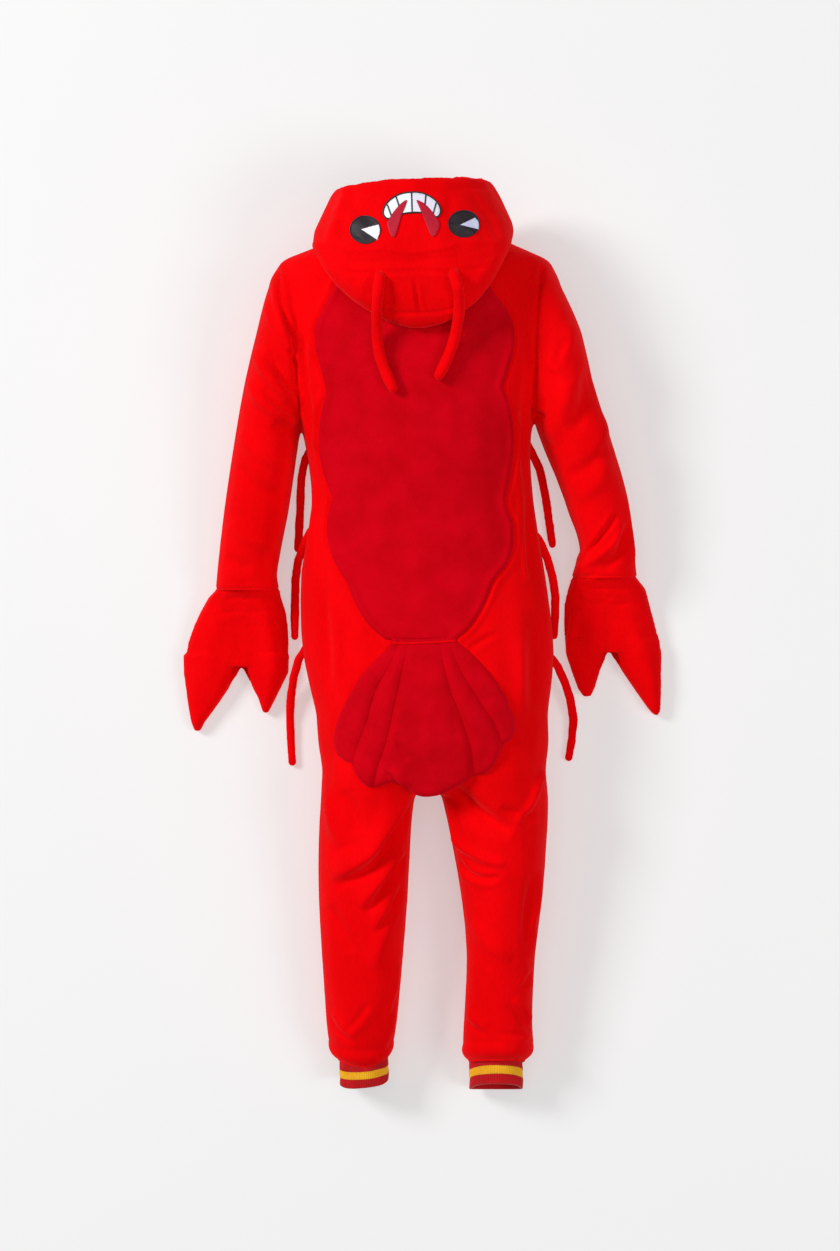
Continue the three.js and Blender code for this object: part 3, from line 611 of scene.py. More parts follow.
LEG_FOLDS = [
    (tuck, 11, 6, (332, 878), (355, 866), (373, 851), (384, 832), (399, 812), (409, 798)),
    (tuck, 8, 4.5, (360, 908), (377, 885), (389, 867), (403, 849)),
    (tuck, 5, 4, (372, 930), (385, 907), (397, 884)),
    (ridge, 6, 7, (326, 786), (331, 806), (336, 829), (344, 846)),
    (valley, 5, 7, (344, 790), (352, 812), (358, 834)),
    (valley, 4, 7, (330, 905), (342, 930), (352, 952)),
    (ridge, 4, 8, (392, 902), (382, 940), (372, 970)),
    (crease, 3, 2.6, (405, 962), (403, 980), (397, 1003), (389, 1017)),
    (ridge, 6, 3.6, (446, 808), (454, 836), (468, 850), (488, 861), (506, 864)),
    (valley, 13, 9, (450, 788), (466, 806), (480, 816), (494, 824), (512, 832)),
    (valley, 5, 5, (500, 808), (516, 814), (534, 820)),
    (crease, 4, 3, (456, 858), (468, 873), (482, 879), (500, 878)),
    (ridge, 5, 3.4, (537, 786), (532, 800), (525, 812), (517, 824)),
    (ridge, 4, 3, (544, 770), (538, 782), (534, 794)),
    (ridge, 4, 4, (541, 870), (538, 900), (534, 930), (531, 960)),
    (valley, 5, 4.5, (533, 872), (529, 905), (524, 945)),
    (crease, 3.5, 2.6, (541, 908), (537, 920), (536, 934)),
    (crease, 3, 2.6, (534, 968), (528, 980), (520, 990)),
    (ridge, 4, 8, (474, 920), (490, 945), (512, 958)),
]
ANKLE_FOLDS = [
    (tuck, 6, 3.6, (384, 1048), (392, 1026), (397, 1004)),
    (tuck, 4, 3, (372, 1006), (362, 1022), (348, 1036)),
    (tuck, 4, 3, (332, 1012), (342, 1028), (356, 1038)),
    (tuck, 7, 3.6, (512, 1000), (525, 1013), (534, 1026)),
    (tuck, 4, 3, (532, 1036), (518, 1040), (500, 1038)),
    (tuck, 4, 3.2, (464, 1008), (474, 1022), (488, 1030)),
]
WRIST_FOLDS = [
    (crease, 6, 2.6, (617, 514), (606, 530), (594, 545), (582, 555)),
    (ridge, 8, 4.5, (623, 520), (614, 541), (600, 555), (586, 565), (573, 571)),
    (valley, 8, 4, (627, 524), (623, 546), (616, 558), (604, 569)),
    (ridge, 6, 5, (625, 490), (633, 520), (634, 546), (632, 566)),
    (crease, 3, 2.6, (598, 573), (588, 577), (576, 578)),
]
SLEEVE_GAIN, BODY_GAIN, LEG_GAIN = 1.3, 1.5, 1.7
SKIN_GROW = 1.4 * MM
BACK_HEIGHT = (0.12, 0.15)  # metres between which the panel's seam fades in
# Places where the outline is drawn in or out: centre, shift, reach across, above and below, metres
NUDGES = [
    ((0.0096, -0.262), (0.0, 0.010), 0.045, 0.030, 0.030),
    ((0.255, 0.158), (0.010, 0.0), 0.022, 0.050, 0.012),
]
# How far back an open end is puffed out, by how much, and how far its very end is drawn in
ROLLS = {"leg": (30 * MM, 4.5 * MM, 3.5 * MM), "forearm": (9 * MM, 0.4 * MM, 2.2 * MM)}
# Hems: radius, how deep they sit, how far past the end
HEM = (2.4 * MM, 1.2 * MM, 0.0)
WRIST_HEM = (1.7 * MM, 0.2 * MM, 1.0 * MM)
NECK_HEM = (6.5 * MM, -5.0 * MM, 1.0 * MM)  # it also covers the seam between the neck and the hood
HEMS = {"torso": NECK_HEM, "forearm_left": WRIST_HEM, "forearm_right": WRIST_HEM}
SHORTEST_RIM = 20  # points


def seam_heights(co, line, depth, width):
    """A stitched seam: a narrow groove, and the cloth puffing up slightly beside it."""
    gap, _ = beside(to_photo(co), smooth_line(line))
    return MM * (-depth * bell(gap, width) + 0.5 * depth * bell(np.abs(gap) - 3 * width, 2 * width))


def hem_roll(obj, node, reach, puff, draw):
    """Puff the cloth out before an open end, and draw it in again at the end itself."""
    centre, normal, left, right = END_CUTS[node]
    co = get_coords(obj)
    short = centre.dot(normal) - co @ np.array(normal)
    near = (co[:, 0] > left - 2 * reach) & (co[:, 0] < right + 2 * reach) & (short < reach)
    share = np.clip(short / reach, 0, 1)
    shape = puff * np.sin(math.pi * share) - draw * (1 - share) ** 4
    set_coords(obj, co + get_normals(obj) * np.where(near, shape, 0)[:, None])


def open_rims(obj):
    """The rims of the open ends, each an ordered list of points."""
    bm = bmesh.new()
    bm.from_mesh(obj.data)
    edge = [v for v in bm.verts if v.is_boundary]
    unseen = set(edge)
    rims = []
    for vert in edge:
        if vert not in unseen:
            continue
        unseen.remove(vert)
        rim = [vert.co.copy()]
        while vert is not None:
            ways = [e.other_vert(vert) for e in vert.link_edges if e.is_boundary]
            vert = next((v for v in ways if v in unseen), None)
            if vert is not None:
                unseen.remove(vert)
                rim.append(vert.co.copy())
        rims.append(rim)
    bm.free()
    return rims


def build_hem(node, rim, radius, sink, below):
    """The rolled hem around an open end."""
    centre, axis = END_CUTS[node][:2]
    for _ in range(6):
        rim = [(a + 2 * b + c) / 4 for a, b, c in zip(rim[-1:] + rim[:-1], rim, rim[1:] + rim[:1])]
    spots = []
    for point in rim[::2]:
        outward = point - centre
        outward = (outward - axis * outward.dot(axis)).normalized()
        place = point - outward * sink + axis * below
        place.z = max(place.z, radius + FLOOR_GAP)
        spots.append((place, outward))
    finish_piece(cord_mesh(f"hem_{node}", [spots], radius, closed=True), PLUSH)


def build_suit():
    down = Vector((0, -1, 0))
    plugs = [("torso", Vector((0, 1, 0)))]
    plugs += [(f"{limb}_{side}", down) for limb in ("forearm", "leg") for side in SIDES]
    obj = from_nodes("suit", SUIT_NODES, SUIT_VOXEL, 40, plugs)
    push(obj, np.full(len(obj.data.vertices), SKIN_GROW), fade=(-1.0, -0.6))
    co = get_coords(obj)
    heights = SLEEVE_GAIN * fold_heights(co, SLEEVE_FOLDS + WRIST_FOLDS)
    heights += BODY_GAIN * fold_heights(co, BODY_FOLDS) + LEG_GAIN * fold_heights(co, LEG_FOLDS)
    heights += fold_heights(co, ANKLE_FOLDS)
    heights += 2.4 * MM * soft_noise(co, 0.11, 1) + 1.0 * MM * soft_noise(co, 0.045, 2)
    for side in SIDES:
        heights += seam_heights(co, ARMHOLES[side], *ARMHOLE_SEAM)
    on_back = step(co[:, 2], *BACK_HEIGHT)
    for edge in (PANEL_LEFT, PANEL_RIGHT):
        line = [point for lobe in edge for point in smooth_line(lobe)]
        gap, _ = beside(co[:, :2] / MM, line)
        heights += on_back * MM * (3.4 * bell(np.abs(gap) - 6, 5) - 1.5 * bell(gap, 3))
    push(obj, heights)
    soften(obj, 1)
    co = get_coords(obj)
    for centre, shift, across, above, below in NUDGES:
        away = co[:, :2] - centre
        share = bell(away[:, 0], across) * bell(away[:, 1], np.where(away[:, 1] > 0, above, below))
        co[:, :2] += share[:, None] * shift
    set_coords(obj, co)
    for node, _ in plugs:
        cut_end(obj, node)
    for side in SIDES:
        for limb, roll in ROLLS.items():
            hem_roll(obj, f"{limb}_{side}", *roll)
    clip_to_floor(obj)
    for rim in open_rims(obj):
        middle = sum(rim, Vector()) / len(rim)
        node = min(END_CUTS, key=lambda n: (END_CUTS[n][0] - middle).length)
        if len(rim) > SHORTEST_RIM:
            build_hem(node, rim, *HEMS.get(node, HEM))
    skin = surface_of(obj)
    thicken(obj, CLOTH)
    clip_to_floor(obj)
    finish_piece(obj, PLUSH, *SUIT_NODES)
    return skin


suit_skin = build_suit()

# --- Walls seen from above


def top_cover(surface, co):
    """For each point, how far below the topmost surface it lies, and the normal up there."""
    gaps = np.full(len(co), np.inf)
    normals = np.zeros((len(co), 3))
    for i, (x, y, z) in enumerate(co):
        hit, normal = look_down(surface, x, y)
        if hit is not None:
            gaps[i] = hit.z - z
            normals[i] = normal
    return gaps, normals


def push_wall(obj, heights, wall):
    """Move the upper wall of a hollow piece, both its faces together."""
    co = get_coords(obj)
    gaps, normals = top_cover(surface_of(obj), co)
    hold = 1 - step(gaps, wall, 2 * wall)
    hold *= step(normals[:, 2], 0.05, 0.5)
    set_coords(obj, co + normals * (heights * hold)[:, None])


SWELL = 3 * MM  # the furthest that a point may move
CLOTH_SETTINGS = dict(
    quality=5, mass=0.25, tension_stiffness=25, compression_stiffness=25, shear_stiffness=10,
    bending_stiffness=1.5, use_pressure=True, uniform_pressure_force=3.0)


def inflate(obj, frames, shrink=0.0, pins=None):
    """Blow a closed cloth form up a little, so that it creases as stuffed fabric does."""
    before = get_coords(obj)
    modifier = obj.modifiers.new("cloth", "CLOTH")
    cloth = modifier.settings
    for name, value in CLOTH_SETTINGS.items():
        setattr(cloth, name, value)
    cloth.shrink_min = shrink
    cloth.effector_weights.gravity = 0
    if pins is not None:
        group = obj.vertex_groups.new(name="pins")
        for weight in (0.25, 0.5, 0.75, 1.0):
            chosen = np.flatnonzero(np.abs(pins - weight) <= 0.125)
            group.add([int(i) for i in chosen], weight, "REPLACE")
        cloth.vertex_group_mass = "pins"
    modifier.collision_settings.use_collision = False
    modifier.point_cache.frame_start = 1
    modifier.point_cache.frame_end = frames
    scene = bpy.context.scene
    for k in range(1, frames + 1):
        scene.frame_set(k)
    apply_modifiers(obj)
    scene.frame_set(1)
    moved = get_coords(obj) - before
    length = np.linalg.norm(moved, axis=1, keepdims=True)
    held = np.where(length > 1e-9, SWELL * np.tanh(length / SWELL) / np.maximum(length, 1e-9), 0)
    set_coords(obj, before + moved * held)


# --- The hood

HOOD_NODES = ("hood", "hood_back")
HOOD_VOXEL = 3.2 * MM
HOOD_WALL = 7 * MM
HOOD_GROW = (1.016, 1.008, 1.006)
HOOD_FOLDS = [
    (ridge, 4, 2.8, (320, 238), (335, 246), (351, 250), (386, 249), (412, 252), (445, 247),
     (466, 241), (486, 243)),
    (valley, 2.5, 3.5, (324, 245), (350, 262), (386, 261), (412, 262), (450, 258), (474, 252)),
    (valley, 7, 6, (349, 190), (354, 204), (366, 216), (374, 224)),
    (ridge, 6, 5, (346, 187), (342, 206), (334, 226), (326, 240)),
    (valley, 3.5, 5, (336, 212), (344, 228), (346, 244)),
    (ridge, 3.5, 6, (476, 184), (488, 202), (500, 224), (506, 240)),
    (valley, 3.5, 6, (470, 194), (480, 206), (492, 220), (496, 240)),
    (valley, 3, 5, (448, 190), (450, 206), (448, 222)),
    (ridge, 3, 6, (334, 258), (350, 280), (366, 294)),
    (ridge, 3, 6, (496, 252), (486, 272), (470, 290)),
    (crease, 1.6, 2.2, (318, 262), (350, 272), (383, 273), (416, 271), (449, 272), (480, 268),
     (504, 258)),
    (crease, 5, 1.9, (414, 278), (416, 290), (418, 302), (421, 313)),
    (valley, 3, 4, (388, 280), (390, 292), (392, 304)),
]
RIM_BAND = [(330, 281), (352, 302), (374, 310), (395, 314), (416, 314), (438, 313), (462, 306), (482, 292)]
BRIM_LINE = [(344, 184), (387, 182), (416, 181), (447, 180), (473, 177), (484, 178)]


def build_hood():
    obj = from_nodes("hood_plush", HOOD_NODES, HOOD_VOXEL, 14)
    co = get_coords(obj)
    middle = (co.max(axis=0) + co.min(axis=0)) / 2
    set_coords(obj, middle + (co - middle) * HOOD_GROW)
    inflate(obj, frames=12, shrink=-0.02)
    co = get_coords(obj)
    heights = fold_heights(co, HOOD_FOLDS)
    heights += 1.6 * MM * soft_noise(co, 0.07, 4) + 0.7 * MM * soft_noise(co, 0.03, 5)
    gap, share = beside(to_photo(co), smooth_line(RIM_BAND))
    ends = np.sin(math.pi * np.clip(share, 0, 1)) ** 0.5
    heights += 2.2 * MM * ends * step(gap, -1.0, 2.5)
    heights -= 1.6 * MM * ends * bell(gap + 1.2, 1.6)
    gap, _ = beside(to_photo(co), BRIM_LINE)
    heights += 2.5 * MM * bell(gap - 3, 5) - 1.2 * MM * bell(gap - 11, 2)
    push_wall(obj, heights, HOOD_WALL)
    relax(obj, 1)
    clip_to_floor(obj)
    finish_piece(obj, PLUSH, *HOOD_NODES, padded=0.2)
    return surface_of(obj)


hood_skin = build_hood()

# --- Claw mittens

CLAW_VOXEL = 2.7 * MM
CLAW_WALL = 9 * MM
COLLAR = 8 * MM  # how far the mitten reaches up inside its sleeve
CLAW_FOLDS = [
    (ridge, 3, 9, (222, 612), (212, 640), (202, 672), (198, 705)),
    (ridge, 3, 8, (262, 612), (270, 645), (270, 680), (266, 702)),
    (valley, 2.5, 6, (240, 662), (240, 640), (238, 618)),
    (ridge, 3, 9, (578, 610), (573, 645), (578, 675), (588, 702)),
    (ridge, 3, 9, (625, 605), (640, 640), (650, 675), (660, 715)),
    (valley, 2.5, 6, (612, 652), (610, 632), (606, 612)),
    (tuck, 2.5, 3.5, (576, 606), (572, 630), (570, 655)),
]


def build_claw(side):
    node = f"claw_{side}"
    centre, axis = (np.array(v) for v in END_CUTS[f"forearm_{side}"][:2])
    obj = from_nodes(f"mitten_{side}", [node], CLAW_VOXEL, 5)
    soften(obj, 10)
    beyond = (get_coords(obj) - centre) @ axis
    inflate(obj, frames=14, pins=1 - step(beyond, 2 * MM, 14 * MM))
    co = get_coords(obj)
    heights = 1.5 * fold_heights(co, CLAW_FOLDS) + 1.2 * MM * soft_noise(co, 0.04, 6)
    heights += 1.2 * MM * (1 - step(beyond, 3 * MM, 20 * MM))
    push_wall(obj, heights, CLAW_WALL)
    co = get_coords(obj)
    collar = step(beyond, 4 * MM, 0.5 * MM)[:, None]
    set_coords(obj, co + collar * ((centre - co) * 0.07 - axis * COLLAR))
    clip_to_floor(obj)
    finish_piece(obj, PLUSH, node, padded=0.4)


for side in SIDES:
    build_claw(side)

# --- The panel on the back

PANEL_TOP = 622
PANEL_FOOT = 4
PANEL_STEP = 4.0
PANEL_COLUMNS = 84
PANEL_LIFT = 2.2 * MM
TURN_IN = 5.0  # mm over which the panel's edge rounds down to the suit


def edge_at(lobes, y):
    """Where an edge of the panel lies across the suit, at each height along it."""
    line = [point for lobe in lobes for point in smooth_line(lobe)]
    line.sort(key=lambda point: point[1])
    return np.interp(y, [p[1] for p in line], [p[0] for p in line])


def drape(surface, x, y):
    """The height of a surface above a place on the floor."""
    hit, _ = look_down(surface, x, y)
    return hit.z if hit is not None else 0.0


def closed_grid(name, top, bottom):
    """A solid between two equal grids of points."""
    rows, columns = len(top), len(top[0])
    bm = bmesh.new()
    upper, lower = [[[bm.verts.new(p) for p in row] for row in grid] for grid in (top, bottom)]
    for i in range(rows - 1):
        for j in range(columns - 1):
            bm.faces.new((upper[i][j], upper[i + 1][j], upper[i + 1][j + 1], upper[i][j + 1]))
            bm.faces.new((lower[i][j], lower[i][j + 1], lower[i + 1][j + 1], lower[i + 1][j]))
    rim = [(0, j) for j in range(columns)] + [(i, columns - 1) for i in range(1, rows)]
    rim += [(rows - 1, j) for j in range(columns - 2, -1, -1)]
    rim += [(i, 0) for i in range(rows - 2, 0, -1)]
    for (a, b), (c, d) in zip(rim, rim[1:] + rim[:1]):
        bm.faces.new((upper[a][b], upper[c][d], lower[c][d], lower[a][b]))
    bmesh.ops.recalc_face_normals(bm, faces=bm.faces)
    return from_bmesh(name, bm)


def build_panel():
    levels = np.linspace(PANEL_TOP, PANEL_FOOT, int((PANEL_TOP - PANEL_FOOT) / PANEL_STEP) + 1)
    left, right = edge_at(PANEL_LEFT, levels), edge_at(PANEL_RIGHT, levels)
    top, bottom = [], []
    for y, low, high in zip(levels, left, right):
        upper, lower = [], []
        for j in range(PANEL_COLUMNS + 1):
            x = low + (high - low) * j / PANEL_COLUMNS
            inward = min(x - low, high - x, y - PANEL_FOOT, PANEL_TOP - y)
            rounding = math.sqrt(max(0.0, 1 - (1 - min(1.0, inward / TURN_IN)) ** 2))
            base = drape(suit_skin, x * MM, y * MM)
            unevenness = 0.9 * MM * noise.noise(Vector((x, y, 7)) / 38)
            lift = 0.6 * MM + rounding * (PANEL_LIFT + unevenness)
            upper.append((x * MM, y * MM, base + lift))
            lower.append((x * MM, y * MM, base + 0.2 * MM))
        top.append(upper)
        bottom.append(lower)
    finish_piece(closed_grid("panel_plush", top, bottom), DARK_PLUSH, "back_panel")


build_panel()

# --- The tail fan

# Outline and stitch lines of the fan, in photograph pixels; its root is tucked under the panel
FAN_ROOT = [(391.5, 638), (408, 639), (424, 639), (441, 638), (456.5, 637)]
FAN_LEFT = [
    (391.5, 638), (390, 645), (379.6, 656.4), (366.3, 669.7), (356.4, 682.9), (348.1, 697.8),
    (339.8, 714.4), (334.8, 731), (334, 744.3), (338.1, 755.9),
]
FAN_RIGHT = [
    (456.5, 637), (458, 642.5), (467.5, 649.8), (479.1, 661.4), (492.4, 676.3), (504, 692.9),
    (510.6, 707.8), (515.6, 720), (515.8, 731),
]
FAN_RIM = [
    (338.1, 755.9), (344.8, 761.2), (351.7, 763.2), (353, 767), (357.2, 775.8), (363.8, 784.1),
    (371.3, 787.4), (381.3, 785.7), (391.2, 782.9), (397.8, 783.3), (406.1, 785.7), (411.1, 790.7),
    (416.1, 794.9), (426, 796.9), (439.3, 795), (449.3, 790.7), (462.5, 783.3), (474.1, 775.8),
    (482.4, 774.1), (490.7, 769.2), (497.4, 759.2), (501.5, 749.3), (504.8, 743.4), (511.4, 739.3),
    (515.8, 731),
]
FAN_SEAMS = [
    [(400, 640), (390.4, 664.7), (379.6, 682.9), (373, 699.5), (368.8, 716.1), (363, 732.7), (356.4, 749.3),
     (352, 764)],
    [(409, 640), (402.8, 669.7), (397.8, 692.9), (392.9, 712.8), (388.7, 732.7), (382.9, 752.6),
     (377.1, 770.8), (373, 787)],
    [(440, 640), (444.3, 666.3), (450.9, 689.5), (457.5, 706.1), (465.8, 729.4), (470.8, 749.3),
     (474.1, 776)],
    [(449, 640), (459.2, 666.3), (470.8, 686.2), (482.4, 704.5), (494, 722.7), (502, 745)],
]
FAN_ROOT_STITCH = [(389.5, 642.5), (402, 643.6), (424, 642.8), (445, 641.6), (458.5, 640.8)]
FAN_DIMPLES = [
    (tuck, 5, 3, (389, 769), (398, 778), (408, 789)),
    (valley, 5, 4, (396, 732), (401, 749), (408, 762)),
    (valley, 3, 5, (372, 700), (378, 722), (384, 740)),
    (ridge, 2.5, 6, (424, 700), (428, 730), (430, 760)),
    (valley, 2, 5, (452, 706), (456, 730), (458, 752)),
    (valley, 2, 6, (350, 690), (346, 716), (340, 736)),
]
TAIL_GRID = (110, 230)  # rows, columns
TAIL_EDGE = 5.0 * MM
TAIL_PUFF = 4.5 * MM
SEAT_END = -200 * MM
SEAT_FALL = 0.3
SEAT_GUESS = 0.14  # metres, the height at which the search for the seat starts


def evenly(line, count):
    """Points spaced evenly along a smooth line."""
    line = np.array(smooth_line(line))
    walked = np.append(0, np.cumsum(np.linalg.norm(line[1:] - line[:-1], axis=1)))
    at = np.linspace(0, walked[-1], count)
    return np.stack([np.interp(at, walked, line[:, axis]) for axis in (0, 1)], axis=1)


def fan_grid(rows, columns):
    """Pixels inside the fan's four edges: rows from root to rim, columns from left to right."""
    root, rim = evenly(FAN_ROOT, columns)[None], evenly(FAN_RIM, columns)[None]
    left, right = evenly(FAN_LEFT, rows)[:, None], evenly(FAN_RIGHT, rows)[:, None]
    u = np.linspace(0, 1, columns)[None, :, None]
    v = np.linspace(0, 1, rows)[:, None, None]
    corners = (1 - v) * ((1 - u) * root[:, :1] + u * root[:, -1:])
    corners = corners + v * ((1 - u) * rim[:, :1] + u * rim[:, -1:])
    return (1 - u) * left + u * right + (1 - v) * root + v * rim - corners


def seat_height(x, y):
    """The seat that the fan lies on, carried on past the crotch as a falling plane."""
    carried = drape(suit_skin, x, max(y, SEAT_END)) - SEAT_FALL * max(0.0, SEAT_END - y)
    return max(carried, drape(suit_skin, x, y) + 0.3 * MM)


def build_tail():
    rows, columns = TAIL_GRID
    pixels = fan_grid(rows, columns)
    flat = pixels.reshape(-1, 2)
    places = [from_photo(px, py, SEAT_GUESS) for px, py in flat]
    for _ in range(3):
        places = [from_photo(px, py, seat_height(p.x, p.y)) for p, (px, py) in zip(places, flat)]
    base = np.array(places).reshape(rows, columns, 3)
    ground = base[:, :, 2].copy()
    for _ in range(12):
        held = np.pad(base[:, :, 2], 1, mode="edge")
        base[:, :, 2] = (held[:-2, 1:-1] + held[2:, 1:-1] + held[1:-1, :-2] + held[1:-1, 2:]) / 4
    base[:, :, 2] = np.maximum(base[:, :, 2], ground)
    edge = smooth_line(FAN_LEFT) + smooth_line(FAN_RIM) + smooth_line(FAN_RIGHT)[::-1]
    to_edge = np.abs(beside(flat, edge)[0])
    to_seam = np.min([np.abs(beside(flat, smooth_line(seam))[0]) for seam in FAN_SEAMS], axis=0)
    rounding = np.sqrt(1 - (1 - np.minimum(1, to_edge / 6)) ** 2)
    swell = 0.15 + 0.85 * step(flat[:, 1], 642, 690)
    puff = TAIL_EDGE + TAIL_PUFF * (1 - bell(to_seam, 5)) - 2.2 * MM * bell(to_seam, 1.2)
    puff = 0.8 * MM + rounding * swell * puff
    upper, lower = base.copy(), base.copy()
    upper[:, :, 2] += puff.reshape(rows, columns)
    lower[:, :, 2] += 0.3 * MM
    obj = closed_grid("tail_plush", upper, lower)
    co = get_coords(obj)
    heights = fold_heights(co, FAN_DIMPLES)
    heights += 0.9 * MM * soft_noise(co, 0.035, 8) + 0.5 * MM * soft_noise(co, 0.014, 9)
    seat = np.array([drape(suit_skin, x, y) for x, y, _ in co])
    push(obj, heights * step(co[:, 2] - seat, 2 * MM, 5 * MM))
    finish_piece(obj, DARK_PLUSH, "tail_fan", padded=0.5)
    return surface_of(obj)


tail_skin = build_tail()

# --- Antennae and side legs

TUBE_VOXEL = 1.9 * MM


def build_tube(name, node, seed, fill, plump):
    """A stuffed tube, plumped out and puckered a little."""
    obj = from_nodes(name, [node], TUBE_VOXEL, 16)
    co = get_coords(obj)
    pucker = 0.6 * MM * soft_noise(co, 0.012, seed) + 0.6 * MM * soft_noise(co, 0.03, seed + 1)
    set_coords(obj, co + get_normals(obj) * (pucker + plump)[:, None])
    clip_to_floor(obj)
    finish_piece(obj, PLUSH, node, padded=fill)


for turn, side in enumerate(SIDES):
    build_tube(f"feeler_{side}", f"antenna_{side}", 20 + turn, 0.8, 2.1 * MM)
    for k in (1, 2, 3):
        build_tube(f"small_leg_{side}_{k}", f"side_leg_{side}_{k}", 30 + 3 * k + turn, 0.7, 1.9 * MM)

# --- Knitted ankle cuffs

RIBS = 84
RIB_DEPTH = 1.1 * MM
CUFF_WALL = 5.5 * MM
CUFF_BANDS = {"cuff": RIB, "cuff_stripe": STRIPE, "cuff_end": RIB}
CUFF_GRID = (12, 6 * RIBS)  # rows on each face, steps around
CUFF_EDGE = 0.12  # the share of a band over which its free edge rounds off
CUFF_DROP = 1.6 * MM
CUFF_LEAN = {"left": -14 * MM, "right": 14 * MM}  # shift along the suit from floor to top
CUFF_BOW = {"left": -3 * MM, "right": 17 * MM}  # shift of the top beyond the waist
CUFF_TURN = {"left": 4 * MM, "right": 0.0}  # shift of the right side against the left
CUFF_WAIST = 0.42
CUFF_POWERS = (2.2, 3.2)


def cuff_section(low, high, angle, grow):
    """The ankle's section: a superellipse with its widest line below its middle."""
    waist = low.z + CUFF_WAIST * (high.z - low.z)
    c, s = math.cos(angle), math.sin(angle)
    power = 2 / CUFF_POWERS[0 if s >= 0 else 1]
    tall = (high.z - waist if s >= 0 else waist - low.z) + grow
    wide = (high.x - low.x) / 2 + grow
    x = (low.x + high.x) / 2 + wide * math.copysign(abs(c) ** power, c)
    return x, waist + tall * math.copysign(abs(s) ** power, s)


def build_cuff(side, band, first, last):
    """One band of ribs, with its edges rounded where it is free."""
    node = f"{band}_{side}"
    low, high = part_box(node)
    lean = CUFF_LEAN[side]
    head, foot = high.y - abs(lean) / 2, low.y + abs(lean) / 2
    rows, around = CUFF_GRID
    rings = []
    profile = [(r / rows, 1) for r in range(rows + 1)] + [(1 - r / rows, -1) for r in range(rows + 1)]
    for share, face in profile:
        free = min(share / CUFF_EDGE, 1.0) if first else 1.0
        free *= min((1 - share) / CUFF_EDGE, 1.0) if last else 1.0
        drop = CUFF_DROP * (1 - math.sqrt(max(0.0, 1 - (1 - free) ** 2)))
        ring = []
        for j in range(around):
            angle = 2 * math.pi * j / around
            rib = 0.5 + 0.5 * math.cos(RIBS * angle + 0.5 * math.sin(3 * angle))
            grow = 0.7 * MM * math.sin(5 * angle + 2.0 * share + len(band))
            if face > 0:
                grow -= drop + RIB_DEPTH * (1 - rib)
            else:
                grow += drop - CUFF_WALL + 0.4 * RIB_DEPTH * (1 - rib)
            x, z = cuff_section(low, high, angle, grow)
            tall = (z - low.z) / (high.z - low.z)
            tilt = lean * (min(tall, CUFF_WAIST) - 0.5) + CUFF_TURN[side] * math.cos(angle)
            tilt += CUFF_BOW[side] * max(0.0, tall - CUFF_WAIST) / (1 - CUFF_WAIST)
            ring.append((x, head + (foot - head) * share + tilt, max(z, 0.5 * MM)))
        rings.append(ring)
    bm = bmesh.new()
    join_rings(bm, [[bm.verts.new(p) for p in ring] for ring in rings], closed=True)
    bmesh.ops.recalc_face_normals(bm, faces=bm.faces)
    finish_piece(from_bmesh(f"knit_{band}_{side}", bm), CUFF_BANDS[band], node)


for side in SIDES:
    for index, band in enumerate(CUFF_BANDS):
        build_cuff(side, band, first=index == 0, last=index == 2)

# --- The face on the hood

# Drawn in photograph pixels. The face is upside down, because the hood hangs down.
EYES = {"left": ((365.4, 229.8), (15.0, 13.6)), "right": ((463.8, 224.0), (15.2, 13.2))}
GLINTS = {
    "left": [(361.4, 229.6), (379.0, 224.6), (380.3, 229.5), (379.7, 234.6), (377.2, 240.0)],
    "right": [(460.0, 225.0), (474.6, 217.9), (477.7, 221.0), (478.8, 225.5), (478.3, 229.8)],
}
MOUTH = [
    (383.4, 213.6), (385.2, 206.2), (391.0, 199.6), (400.0, 194.6), (412.0, 192.4), (421.0, 193.2),
    (431.0, 197.4), (438.0, 203.8), (440.4, 211.0), (438.6, 216.2), (434.0, 216.9), (427.0, 213.8),
    (417.6, 212.8), (407.6, 213.3), (397.0, 215.6), (390.8, 218.6), (386.4, 218.4),
]
# The right half of the mouth, where the white felt is covered in painted shade
MOUTH_PAINTED_SHADE = [
    (411.8, 193.4), (421.0, 194.2), (430.6, 198.2), (437.2, 204.2), (439.6, 211.0), (437.8, 215.4),
    (434.0, 216.0), (427.0, 213.0), (417.6, 212.0), (412.0, 212.4),
]
TOOTH_LINES = [
    [(387.4, 205.0), (391.6, 216.4)],
    [(396.2, 197.2), (401.4, 213.4)],
    [(411.6, 193.0), (412.2, 212.8)],
    [(425.8, 195.2), (424.0, 212.6)],
    [(436.0, 203.2), (432.8, 214.8)],
]
MANDIBLES = {
    "left": [(407.2, 200.8), (405.6, 206.4), (401.6, 216.0), (398.6, 226.0), (395.2, 236.2), (391.4, 236.4),
             (388.4, 229.6), (387.2, 223.6), (392.0, 214.6), (399.0, 206.0), (404.4, 201.4)],
    "right": [(416.6, 200.8), (418.6, 206.4), (422.6, 216.0), (426.6, 226.4), (431.0, 236.0), (434.8, 235.8),
              (438.0, 230.0), (439.2, 222.6), (433.0, 213.2), (425.6, 205.0), (419.4, 201.2)],
}
PATCH_CELL = 0.9  # pixels
EYE_LIFT, GLINT_LIFT, MANDIBLE_LIFT = 1.1 * MM, 1.9 * MM, 2.6 * MM


def ellipse(centre, radii, count=64):
    turns = [2 * math.pi * k / count for k in range(count)]
    return [(centre[0] + radii[0] * math.cos(t), centre[1] + radii[1] * math.sin(t)) for t in turns]


